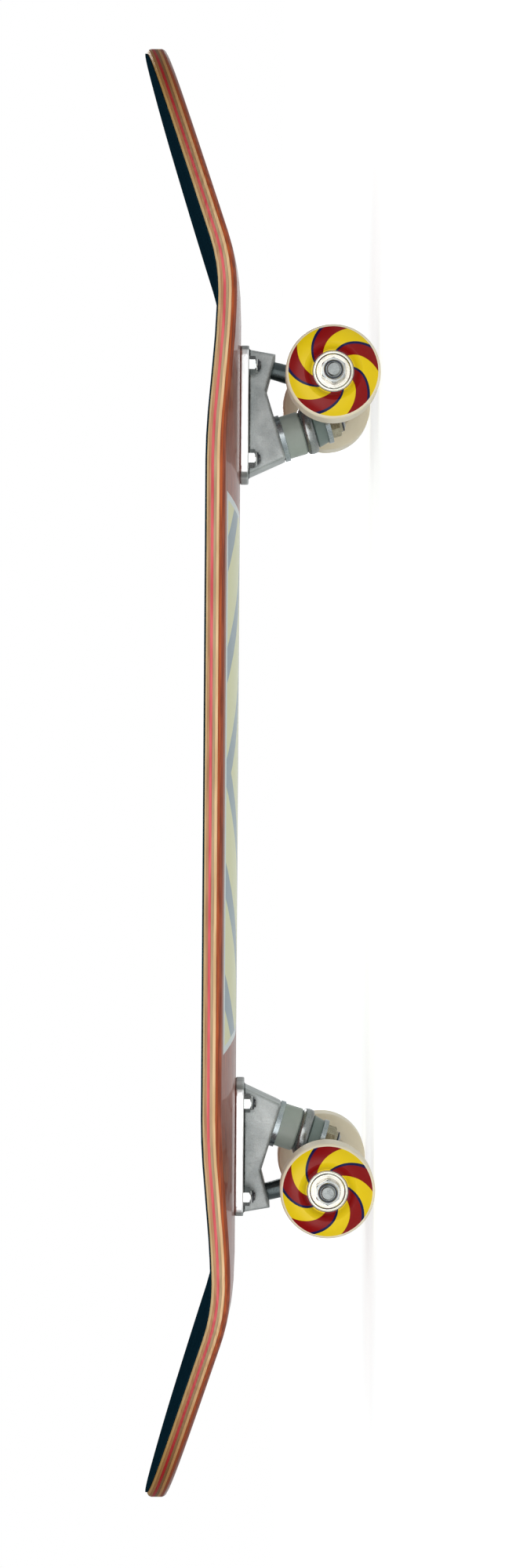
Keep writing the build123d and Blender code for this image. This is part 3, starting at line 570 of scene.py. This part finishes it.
def link(name, mesh):
    """A new object of a mesh, in the scene."""
    piece = bpy.data.objects.new(name, mesh)
    bpy.context.scene.collection.objects.link(piece)
    return piece


def turn(work, profile, centre, way):
    """Adds to a bmesh the closed profile of (radius, distance along way) in mm, turned about that direction."""
    across = way.orthogonal().normalized()
    beside = way.cross(across)
    rings = []
    for radius, along in profile:
        ring = []
        for step in range(STEPS):
            angle = 2 * pi * step / STEPS
            arm = across * radius * cos(angle) + beside * radius * sin(angle) + way * along
            ring.append(work.verts.new(centre + arm * MM))
        rings.append(ring)
    faces = []
    for near, far in zip(rings, rings[1:] + rings[:1]):
        for step in range(STEPS):
            faces.append(work.faces.new((near[step], near[step - 1], far[step - 1], far[step])))
    bmesh.ops.recalc_face_normals(work, faces=faces)
    for face in faces:
        face.smooth = True
    return faces


def lathe_mesh(work, name):
    """The plain mesh of a turned piece, shaded smooth except at its corners."""
    mesh = bpy.data.meshes.new(name)
    work.to_mesh(mesh)
    work.free()
    mesh.set_sharp_from_angle(angle=CORNER)
    return mesh


def bowed(start, end, radius, count):
    """Points on an arc from start to end that bulges outward, both ends included."""
    a, b = Vector(start), Vector(end)
    chord = b - a
    half = asin(chord.length / 2 / radius)
    side = Vector((-chord.y, chord.x)).normalized()
    if side.y < 0:
        side = -side
    centre = (a + b) / 2 - side * radius * cos(half)
    points = []
    for i in range(count):
        swing = half - 2 * half * i / (count - 1)
        points.append(tuple(centre + side * radius * cos(swing) - chord.normalized() * radius * sin(swing)))
    return points


def hub_of(end, side):
    """The middle of a wheel, and the way outward from it along Y."""
    low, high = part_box(f"{end}_{side}_wheel")
    return (low + high) / 2, Vector((0, 1 if side == "left" else -1, 0))


print("hubs:", [tuple(round(v, 4) for v in hub_of(e, s)[0]) for e in ENDS for s in SIDES])

# %% [markdown]
# Wheels
#
# The section is the solid's own, in the same sizes: a core that seats two bearings, a dished face with a crest, and
# a rounded lip to the tread. Rings stand close together at each turn of the section, so that the smooth shading
# stays tight there. The UV map looks straight at the outer face; the rest of the wheel is sent to a far corner of
# it, where nothing is printed.

# %% Build the wheels
WHEEL_RADIUS = 26.5
WHEEL_HALF = 16.0
TREAD_HALF = 10.0
CORE_RADIUS = 9.2
SEAT_RADIUS = 11.03
SEAT_BOTTOM = 5.25
SEAT_TOP = 12.25
LIP_RADIUS = 12.4
CREST_RADIUS = 16.3
EDGE_RADIUS = 24.3
EDGE_HALF = 12.8
LIP_BULGE = 8.0
FACE_BULGE = 16.0
SHOULDER_BULGE = 4.0
LIP_POINTS, FACE_POINTS, SHOULDER_POINTS = 7, 10, 7
CLOSE = 0.12
FACING_OUT = 0.2


def wheel_section():
    """The closed section of a wheel, from the core round to the outer face, the tread and the inner face."""
    face = [
        (CORE_RADIUS, SEAT_BOTTOM - CLOSE),
        (CORE_RADIUS, SEAT_BOTTOM),
        (SEAT_RADIUS, SEAT_BOTTOM),
        (SEAT_RADIUS, SEAT_BOTTOM + CLOSE),
        (SEAT_RADIUS, SEAT_TOP - CLOSE),
        (SEAT_RADIUS + CLOSE, SEAT_TOP),
        (LIP_RADIUS - CLOSE, SEAT_TOP),
    ]
    lip, crest = (LIP_RADIUS, SEAT_TOP + CLOSE), (CREST_RADIUS, WHEEL_HALF)
    edge, tread = (EDGE_RADIUS, EDGE_HALF), (WHEEL_RADIUS, TREAD_HALF)
    face += bowed(lip, crest, LIP_BULGE, LIP_POINTS)
    face += bowed(crest, edge, FACE_BULGE, FACE_POINTS)[1:]
    face += bowed(edge, tread, SHOULDER_BULGE, SHOULDER_POINTS)[1:]
    face += [(WHEEL_RADIUS, TREAD_HALF - CLOSE), (WHEEL_RADIUS, TREAD_HALF / 2)]
    return face + [(radius, -along) for radius, along in reversed(face)]


def build_wheel(end, side):
    """One wheel on its hub, with the UV map of its printed face."""
    centre, outward = hub_of(end, side)
    work = bmesh.new()
    turn(work, wheel_section(), centre, outward)
    face_map = work.loops.layers.uv.new("face")
    for face in work.faces:
        printed = face.normal.dot(outward) > FACING_OUT
        for loop in face.loops:
            arm = (loop.vert.co - centre) / (FACE_SPAN * MM)
            loop[face_map].uv = (0.5 - outward.y * arm.x, 0.5 + arm.z) if printed else (0.0, 0.0)
    mesh = lathe_mesh(work, f"{end}_{side}_wheel_urethane")
    wheel = link(f"{end}_{side}_wheel_urethane", mesh)
    dress(wheel, finishes["wheel_urethane"])
    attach(wheel, f"{end}_{side}_roller")
    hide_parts(f"{end}_{side}_wheel")
    return wheel


for end in ENDS:
    for side in SIDES:
        made = build_wheel(end, side)
        print(made.name, len(made.data.polygons), "faces")

# %% [markdown]
# Bearing shields
#
# A shield is a pressed steel disc that snaps into the outer race: a raised band, a groove pressed round it and a
# rolled edge. The solid is a flat ring, so the lathe turns a stepped one in the same room, four to a wheel.

# %% Build the shields
SHIELD_OUTER = 8.87
SHIELD_INNER = 6.25
SHIELD_THICK = 0.3
GROOVE_DEPTH = 0.12
GROOVE_FROM, GROOVE_TO, GROOVE_WALL = 7.0, 7.5, 0.15
ROLL_FROM, ROLL_WALL = 8.3, 0.12
EDGE_DROP, EDGE_IN = 0.05, 0.06
BEARING_FACES = (12.25, 5.25)
SHIELD_RECESS = 0.3


def shield_section(face):
    """The closed section of a shield whose bright side is at a distance outward, facing out."""
    back = face - SHIELD_THICK
    low = face - GROOVE_DEPTH
    return [
        (SHIELD_INNER, back),
        (SHIELD_INNER, face - EDGE_DROP),
        (SHIELD_INNER + EDGE_IN, face),
        (GROOVE_FROM, face),
        (GROOVE_FROM + GROOVE_WALL, low),
        (GROOVE_TO - GROOVE_WALL, low),
        (GROOVE_TO, face),
        (ROLL_FROM, face),
        (ROLL_FROM + ROLL_WALL, low),
        (SHIELD_OUTER, low),
        (SHIELD_OUTER, back),
    ]


def build_shields(end, side):
    """The four shields of a wheel's two bearings, as one piece."""
    centre, outward = hub_of(end, side)
    work = bmesh.new()
    outer = shield_section(BEARING_FACES[0] - SHIELD_RECESS)
    inner = [(radius, sum(BEARING_FACES) - along) for radius, along in outer]
    for sign in (1, -1):
        for section in (outer, inner):
            turn(work, [(radius, sign * along) for radius, along in section], centre, outward)
    mesh = lathe_mesh(work, f"{end}_{side}_pressed_shields")
    shields = link(f"{end}_{side}_pressed_shields", mesh)
    dress(shields, finishes["shield_steel"])
    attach(shields, f"{end}_{side}_roller")
    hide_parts(f"{end}_{side}_shields")
    return shields


for end in ENDS:
    for side in SIDES:
        made = build_shields(end, side)
        print(made.name, len(made.data.polygons), "faces")

# %% [markdown]
# Bearing outer races
#
# The outer race is a ground ring with a round track for the balls inside and a snap groove in each face, just
# outside the shield. The groove is what draws the dark ring on the hub: its floor slants, so it mirrors the dim
# side of the studio while the flat land beside it mirrors the lamp. The lathe turns both races of a wheel.

# %% Build the outer races
RACE_OUTER = 11.0
RACE_BORE = 8.9
RACE_HALF = 3.5
RACE_CHAMFER = 0.2
SNAP_OUTER = 10.06
SNAP_INNER = 9.26
SNAP_DEPTH = 0.5
TRACK_CIRCLE = 7.5
TRACK_RADIUS = 2.035
TRACK_HALF = radians(46.5)
TRACK_POINTS = 9


def race_section(middle):
    """The closed section of a race whose middle is at a distance outward."""
    face = [
        (RACE_OUTER, RACE_HALF - RACE_CHAMFER),
        (RACE_OUTER - RACE_CHAMFER, RACE_HALF),
        (SNAP_OUTER, RACE_HALF),
        (SNAP_OUTER, RACE_HALF - SNAP_DEPTH),
        (SNAP_INNER, RACE_HALF),
        (RACE_BORE, RACE_HALF),
    ]
    swings = [TRACK_HALF * (1 - 2 * i / (TRACK_POINTS - 1)) for i in range(TRACK_POINTS)]
    track = [(TRACK_CIRCLE + TRACK_RADIUS * cos(t), TRACK_RADIUS * sin(t)) for t in swings]
    back = [(radius, -along) for radius, along in reversed(face)]
    return [(radius, middle + along) for radius, along in face + track + back]


def build_races(end, side):
    """The outer races of a wheel's two bearings, as one piece."""
    centre, outward = hub_of(end, side)
    work = bmesh.new()
    for sign in (1, -1):
        turn(work, race_section(sign * sum(BEARING_FACES) / 2), centre, outward)
    mesh = lathe_mesh(work, f"{end}_{side}_ground_races")
    races = link(f"{end}_{side}_ground_races", mesh)
    dress(races, finishes["bearing_steel"])
    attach(races, f"{end}_{side}_roller")
    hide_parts(f"{end}_{side}_outer_races")
    return races


for end in ENDS:
    for side in SIDES:
        made = build_races(end, side)
        print(made.name, len(made.data.polygons), "faces")

# %% [markdown]
# Bushings
#
# Two rings of urethane hold the hanger: a barrel between the baseplate and the hanger's ring, and a cone between
# the ring and the nut. They are what a rider leans against, so they give under a lean. The lathe lays many rings of
# points along each bushing. The bore widens towards the ring, to clear the kingpin in a lean.

# %% Build the bushings
KINGPIN_TILT = radians(17.0)
RING_HALF = 3.45
BORE_NARROW, BORE_WIDE = 5.02, 6.4
BUSHING_EDGE = 0.8
BUSHINGS = {  # length towards the ground, radius at the ring, radius at the washer
    "board": (-12.4, 12.7, 12.7),
    "road": (8.0, 11.3, 9.3),
}
BUSHING_RINGS = 14


def kingpin_line(end):
    """The middle of the hanger's ring, and the kingpin's direction towards the ground."""
    pins = {joint["name"]: joint for joint in frame["record"]["behaviour"]["joints"]}
    ahead = 1 if end == "front" else -1
    return Vector(pins[f"{end}_lean"]["pos_m"]), Vector((ahead * sin(KINGPIN_TILT), 0, -cos(KINGPIN_TILT)))


def bushing_section(length, ring_radius, washer_radius):
    """The closed section of a bushing, from the ring to the washer, with both edges rounded."""
    sign = 1 if length > 0 else -1
    outer = []
    for i in range(BUSHING_RINGS):
        share = i / (BUSHING_RINGS - 1)
        edge = min(share, 1 - share) * abs(length)
        tuck = max(BUSHING_EDGE - edge, 0)
        tuck = BUSHING_EDGE - (BUSHING_EDGE ** 2 - tuck ** 2) ** 0.5
        radius = ring_radius + (washer_radius - ring_radius) * share - tuck
        outer.append((radius, sign * RING_HALF + share * length))
    bore = [(BORE_NARROW, sign * RING_HALF + length), (BORE_WIDE, sign * RING_HALF)]
    return outer + bore


def build_bushing(end, name, length, ring_radius, washer_radius):
    """One bushing, turned about the kingpin's line."""
    centre, way = kingpin_line(end)
    work = bmesh.new()
    turn(work, bushing_section(length, ring_radius, washer_radius), centre, way)
    bushing = link(f"{end}_{name}_urethane", lathe_mesh(work, f"{end}_{name}_urethane"))
    dress(bushing, finishes["bushing_urethane"] if name == "board" else firm_bushing)
    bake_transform(bushing)
    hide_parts(f"{end}_{name}_bushing")
    return bushing


for end in ENDS:
    for name, sizes in BUSHINGS.items():
        made = build_bushing(end, name, *sizes)
        print(made.name, len(made.data.polygons), "faces")

# %% [markdown]
# Castings
#
# A casting has no sharp edge: metal flows round every corner of its mould. A copy of the solid is merged into one
# skin, wrapped in a fine voxel mesh, and smoothed a little, which rounds the edges and fills the corners as a
# foundry's fillets do. The solid itself is left alone, and the skin stands for it.

# %% Cast skins
CASTINGS = {  # what moves it, voxel in mm, rounds of smoothing, slot
    "baseplate": ("board", 0.55, 3, "cast_aluminium"),
    "hanger": ("truck", 0.7, 5, "hanger_aluminium"),
}
SOFTEN = 0.5
WELD = 1e-6


def plain_mesh(piece, name):
    """The evaluated mesh of a piece, with its modifiers applied and removed."""
    bpy.context.view_layer.update()
    evaluated = piece.evaluated_get(bpy.context.evaluated_depsgraph_get())
    mesh = bpy.data.meshes.new_from_object(evaluated)
    mesh.name = name
    piece.modifiers.clear()
    piece.data = mesh
    return piece


def cast_skin(node, body, voxel, rounds, slot):
    """A casting's skin over a copy of its solid."""
    work = bmesh.new()
    work.from_mesh(frame["nodes"][node].data)
    bmesh.ops.remove_doubles(work, verts=work.verts, dist=WELD)
    mesh = bpy.data.meshes.new(node)
    work.to_mesh(mesh)
    work.free()
    skin = link(f"{node}_cast_skin", mesh)
    wrap = skin.modifiers.new("wrap", "REMESH")
    wrap.mode = "VOXEL"
    wrap.voxel_size = voxel * MM
    wrap.use_smooth_shade = True
    soften = skin.modifiers.new("soften", "SMOOTH")
    soften.factor = SOFTEN
    soften.iterations = rounds
    plain_mesh(skin, skin.name)
    dress(skin, finishes[slot])
    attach(skin, body)
    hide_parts(node)
    return skin


for end in ENDS:
    for name, (body, voxel, rounds, slot) in CASTINGS.items():
        owner = body if body == "board" else f"{end}_{body}"
        made = cast_skin(f"{end}_{name}", owner, voxel, rounds, slot)
        print(made.name, len(made.data.polygons), "faces")

# %% [markdown]
# Screw threads
#
# Bolts, axles and kingpins end in a cut thread just past their nuts. A thread follows a rule, so Geometry Nodes
# make it: a spiral curve with a small five-sided ridge swept along it. The same spiral is set on a point for each
# bolt, turned to that bolt's own direction, which the point carries as an attribute named way. One tree serves all
# three sizes through its named inputs. A second tree sweeps the round nylon collar that grips a thread in its nut.

# %% The thread tree
TURN_POINTS = 40
RIDGE_SIDES = 5
BEAD_SIDES = 10


def new_tree(name, sizes):
    """An empty geometry tree with named inputs; gives the tree and the sockets of its group input."""
    tree = bpy.data.node_groups.new(name, "GeometryNodeTree")
    tree.interface.new_socket("Geometry", in_out="INPUT", socket_type="NodeSocketGeometry")
    tree.interface.new_socket("Geometry", in_out="OUTPUT", socket_type="NodeSocketGeometry")
    for size in sizes:
        tree.interface.new_socket(size, in_out="INPUT", socket_type="NodeSocketFloat")
    tree.interface.new_socket("Material", in_out="INPUT", socket_type="NodeSocketMaterial")
    return tree, add(tree, "NodeGroupInput").outputs


def set_on_points(tree, entry, shape):
    """Ends a tree: the shape on every point, turned along way, made real and given its material."""
    way = add(tree, "GeometryNodeInputNamedAttribute", {"Name": "way"}, data_type="FLOAT_VECTOR")
    turned = {"Vector": way.outputs["Attribute"]}
    turned = add(tree, "FunctionNodeAlignRotationToVector", turned, axis="Z")
    spread = {"Points": entry["Geometry"], "Instance": shape, "Rotation": turned.outputs[0]}
    spread = add(tree, "GeometryNodeInstanceOnPoints", spread)
    real = add(tree, "GeometryNodeRealizeInstances", {"Geometry": spread.outputs[0]})
    smooth = add(tree, "GeometryNodeSetShadeSmooth", {"Geometry": real.outputs[0]})
    coated = {"Geometry": smooth.outputs[0], "Material": entry["Material"]}
    coated = add(tree, "GeometryNodeSetMaterial", coated)
    add(tree, "NodeGroupOutput", {"Geometry": coated.outputs[0]})
    return tree


def thread_tree():
    """A ridge swept along a spiral, on every point."""
    tree, entry = new_tree("screw_thread", ("Radius", "Length", "Pitch", "Ridge"))
    turns = {0: entry["Length"], 1: entry["Pitch"]}
    turns = add(tree, "ShaderNodeMath", turns, operation="DIVIDE")
    spiral = {
        "Resolution": TURN_POINTS, "Rotations": turns.outputs[0], "Start Radius": entry["Radius"],
        "End Radius": entry["Radius"], "Height": entry["Length"],
    }
    spiral = add(tree, "GeometryNodeCurveSpiral", spiral)
    ridge = add(tree, "GeometryNodeCurvePrimitiveCircle", {"Resolution": RIDGE_SIDES, "Radius": entry["Ridge"]})
    sweep = {"Curve": spiral.outputs[0], "Profile Curve": ridge.outputs[0], "Fill Caps": True}
    sweep = add(tree, "GeometryNodeCurveToMesh", sweep)
    return set_on_points(tree, entry, sweep.outputs[0])


def collar_tree():
    """A rounded ring lying across way, on every point."""
    tree, entry = new_tree("nylon_collar", ("Radius", "Bead"))
    ring = add(tree, "GeometryNodeCurvePrimitiveCircle", {"Resolution": TURN_POINTS, "Radius": entry["Radius"]})
    bead = add(tree, "GeometryNodeCurvePrimitiveCircle", {"Resolution": BEAD_SIDES, "Radius": entry["Bead"]})
    sweep = {"Curve": ring.outputs[0], "Profile Curve": bead.outputs[0]}
    sweep = add(tree, "GeometryNodeCurveToMesh", sweep)
    return set_on_points(tree, entry, sweep.outputs[0])


THREAD = thread_tree()
COLLAR = collar_tree()
print("trees:", THREAD.name, COLLAR.name)

# %% [markdown]
# Where the threads end
#
# Each fastener stands along a known direction: bolts point to the ground, axles outward and kingpins along their
# tilt. A bolt's end is the lowest point of its solid, and an axle's the outermost, so the places are read off the
# solids. A kingpin leans, so its end is the corner of the solid that lies furthest along its direction.

# %% Threads and collars
BOLT_RADIUS, AXLE_RADIUS, KINGPIN_RADIUS = 2.4, 3.97, 4.765
BOLT_PITCH, AXLE_PITCH = 0.8, 1.06
BOLT_TIP, AXLE_TIP = 0.5, 0.75
BOLT_PROUD, AXLE_PROUD, KINGPIN_PROUD = 1.6, 1.8, 1.6
RIDGE = 0.16
COLLAR_SINK = 0.1
COLLAR_CLEAR = 0.75
COLLAR_BEAD = 0.5
ENDS_APART = 12.0
LEVEL = 1e-5


def solid_ends(node, way):
    """The middle of each solid's end face along a direction, for a node of one or more solids."""
    work = bmesh.new()
    work.from_mesh(frame["nodes"][node].data)
    bmesh.ops.remove_doubles(work, verts=work.verts, dist=WELD)
    reach = max(v.co.dot(way) for v in work.verts)
    tips = [v.co.copy() for v in work.verts if reach - v.co.dot(way) < LEVEL]
    work.free()
    ends = []
    while tips:
        seed = tips[0]
        near = [t for t in tips if (t - seed).length < ENDS_APART * MM]
        tips = [t for t in tips if (t - seed).length >= ENDS_APART * MM]
        low = Vector([min(t[i] for t in near) for i in range(3)])
        high = Vector([max(t[i] for t in near) for i in range(3)])
        ends.append((low + high) / 2)
    return ends


def grow(name, tree, places, sizes, material, body):
    """Runs a tree on points that each carry their way, and keeps the result as a plain piece."""
    mesh = bpy.data.meshes.new(name)
    mesh.from_pydata([place for place, way in places], [], [])
    ways = mesh.attributes.new("way", "FLOAT_VECTOR", "POINT")
    ways.data.foreach_set("vector", [v for place, way in places for v in way])
    piece = link(name, mesh)
    grown = piece.modifiers.new("grow", "NODES")
    grown.node_group = tree
    sockets = {s.name: s.identifier for s in tree.interface.items_tree if s.in_out == "INPUT"}
    for size, value in sizes.items():
        grown[sockets[size]] = value * MM
    grown[sockets["Material"]] = material
    plain_mesh(piece, name)
    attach(piece, body)
    print(name, len(piece.data.polygons), "faces on", len(places), "points")
    return piece


def fit_ends(name, body, ends, radius, pitch, tip, proud, metal_slot):
    """A thread on the proud end of each fastener, and the nylon collar that grips it in the nut."""
    length = proud - tip
    starts = [(end - way * (tip + length) * MM, way) for end, way in ends]
    sizes = {"Radius": radius - RIDGE / 2, "Length": length, "Pitch": pitch, "Ridge": RIDGE}
    grow(f"{name}_threads", THREAD, starts, sizes, finishes[metal_slot], body)
    rings = [(end - way * (proud - COLLAR_SINK) * MM, way) for end, way in ends]
    sizes = {"Radius": radius + COLLAR_CLEAR, "Bead": COLLAR_BEAD}
    grow(f"{name}_collars", COLLAR, rings, sizes, collar_nylon, body)


down = Vector((0, 0, -1))
bolt_ends = [(end, down) for end in solid_ends("mounting_bolts", down)]
fit_ends("bolt", "board", bolt_ends, BOLT_RADIUS, BOLT_PITCH, BOLT_TIP, BOLT_PROUD, "zinc_steel")
for end in ENDS:
    lean = kingpin_line(end)[1]
    tips = [(tip, lean) for tip in solid_ends(f"{end}_kingpin", lean)]
    fit_ends(f"{end}_kingpin", "board", tips, KINGPIN_RADIUS, AXLE_PITCH, AXLE_TIP, KINGPIN_PROUD, "zinc_steel")
    outward = (Vector((0, 1, 0)), Vector((0, -1, 0)))
    tips = [(tip, way) for way in outward for tip in solid_ends(f"{end}_axle", way)]
    fit_ends(f"{end}_axle", f"{end}_truck", tips, AXLE_RADIUS, AXLE_PITCH, AXLE_TIP, AXLE_PROUD, "axle_steel")

# %% [markdown]
# Camera
#
# The photograph looks squarely at the board's right side with a long lens, and it is turned so that the nose is up.
# The focal length and the place come from the sizes of the near and far wheels, and the board leans by less than
# half a degree in the frame, which is a small roll of the camera.

# %% Place the camera
PHOTO_HEIGHT = 2000
FOCAL_PIXELS = 4010
SENSOR = 36.0
CAMERA_SPOT = Vector((-6.0, -1840.0, 69.85)) * MM
ROLL = radians(0.4)

lens = bpy.data.cameras.new("camera")
lens.sensor_width = SENSOR
lens.lens = SENSOR * FOCAL_PIXELS / PHOTO_HEIGHT
camera = bpy.data.objects.new("camera", lens)
bpy.context.scene.collection.objects.link(camera)
right = Vector((sin(ROLL), 0, -cos(ROLL)))
up = Vector((cos(ROLL), 0, sin(ROLL)))
back = Vector((0, -1, 0))
camera.matrix_world = Matrix.Translation(CAMERA_SPOT) @ Matrix((right, up, back)).transposed().to_4x4()
bpy.context.scene.camera = camera
print("lens:", round(lens.lens, 2), "mm")

# %% [markdown]
# Floor and light
#
# The studio is a pale floor under the wheels, white paper behind, and a sky that is dim at the horizon and dimmer
# past the nose and the tail, so that bare metal has something darker than paper to mirror. A broad lamp stands
# behind the camera for the bright faces of the nuts and flanges, a smaller one lifts the shadows and a third lights
# the far side. The floor gives off a little light of its own, more of it further out, so that shadows stay faint
# and it runs into the paper without an edge.

# %% Light the studio
FLOOR_HALF = 6.0
GLOW_NEAR, GLOW_FAR = 0.7, 1.0
NEAR_REACH, FAR_REACH = 0.45, 1.3
FLOOR_BOUNCE = 0.4
SKY_LOW = 0.36
SKY_HIGH = 0.6
SKY_ENDS = 0.25
SKY_PAPER = 1.0
DUSK_FROM, DUSK_FULL = 0.25, 0.9
WHITE = (1, 1, 1, 1)
FLOOR_INK = "#c8d0d1"
AIM = (0, 0, 0.06)
LAMPS = {  # place in metres, size in metres, watts
    "key": ((-0.1, -2.4, 0.8), 2.2, 35),
    "fill": ((-1.2, -1.6, 0.3), 0.8, 5),
    "rim": ((0.8, 2.0, 0.9), 1.0, 18),
}


def studio_floor():
    """The paper that the board stands on; the camera sees its full glow, and the board a weaker one."""
    work = bmesh.new()
    bmesh.ops.create_grid(work, x_segments=1, y_segments=1, size=FLOOR_HALF)
    mesh = bpy.data.meshes.new("floor")
    work.to_mesh(mesh)
    work.free()
    floor = link("floor", mesh)
    shader = {"Base Color": linear(FLOOR_INK), "Roughness": 1.0, "Specular IOR Level": 0.0}
    material, tree, principled, place = finish_of("pale_paper", shader)
    principled.inputs["Emission Color"].default_value = WHITE
    reach = add(tree, "ShaderNodeVectorMath", {0: place.outputs["Object"]}, operation="LENGTH")
    fade = {
        "Value": reach.outputs["Value"], "From Min": NEAR_REACH, "From Max": FAR_REACH,
        "To Min": GLOW_NEAR, "To Max": GLOW_FAR,
    }
    fade = add(tree, "ShaderNodeMapRange", fade, interpolation_type="SMOOTHSTEP")
    ray = add(tree, "ShaderNodeLightPath")
    glow = {0: ray.outputs["Is Camera Ray"], 2: FLOOR_BOUNCE, 3: fade.outputs[0]}
    glow = add(tree, "ShaderNodeMix", glow)
    tree.links.new(glow.outputs[0], principled.inputs["Emission Strength"])
    dress(floor, material)
    return floor


def lamp(name, spot, size, power):
    """A square area lamp that looks at the middle of the board."""
    data = bpy.data.lights.new(name, "AREA")
    data.size = size
    data.energy = power
    made = bpy.data.objects.new(name, data)
    bpy.context.scene.collection.objects.link(made)
    made.location = spot
    made.rotation_euler = (Vector(AIM) - Vector(spot)).to_track_quat("-Z", "Y").to_euler()
    return made


studio_floor()
for name, (spot, size, power) in LAMPS.items():
    lamp(name, spot, size, power)
sky = bpy.data.worlds.new("white_studio")
sky.use_nodes = True
tree = sky.node_tree
soft = tree.nodes["Background"]
soft.inputs["Color"].default_value = WHITE
way = add(tree, "ShaderNodeTexCoord")
height = add(tree, "ShaderNodeSeparateXYZ", {0: way.outputs["Generated"]})
dome = add(tree, "ShaderNodeMapRange", {"Value": height.outputs[2], "To Min": SKY_LOW, "To Max": SKY_HIGH})
aside = add(tree, "ShaderNodeMath", {0: height.outputs[0]}, operation="ABSOLUTE")
dusk = {
    "Value": aside.outputs[0], "From Min": DUSK_FROM, "From Max": DUSK_FULL,
    "To Min": 1.0, "To Max": SKY_ENDS,
}
dusk = add(tree, "ShaderNodeMapRange", dusk)
dome = add(tree, "ShaderNodeMath", {0: dome.outputs[0], 1: dusk.outputs[0]}, operation="MULTIPLY")
tree.links.new(dome.outputs[0], soft.inputs["Strength"])
paper = add(tree, "ShaderNodeBackground", {"Color": WHITE, "Strength": SKY_PAPER})
ray = add(tree, "ShaderNodeLightPath")
seen = {0: ray.outputs["Is Camera Ray"], 1: soft.outputs[0], 2: paper.outputs[0]}
seen = add(tree, "ShaderNodeMixShader", seen)
tree.links.new(seen.outputs[0], tree.nodes["World Output"].inputs["Surface"])
bpy.context.scene.world = sky
bpy.context.scene.view_settings.view_transform = "Standard"
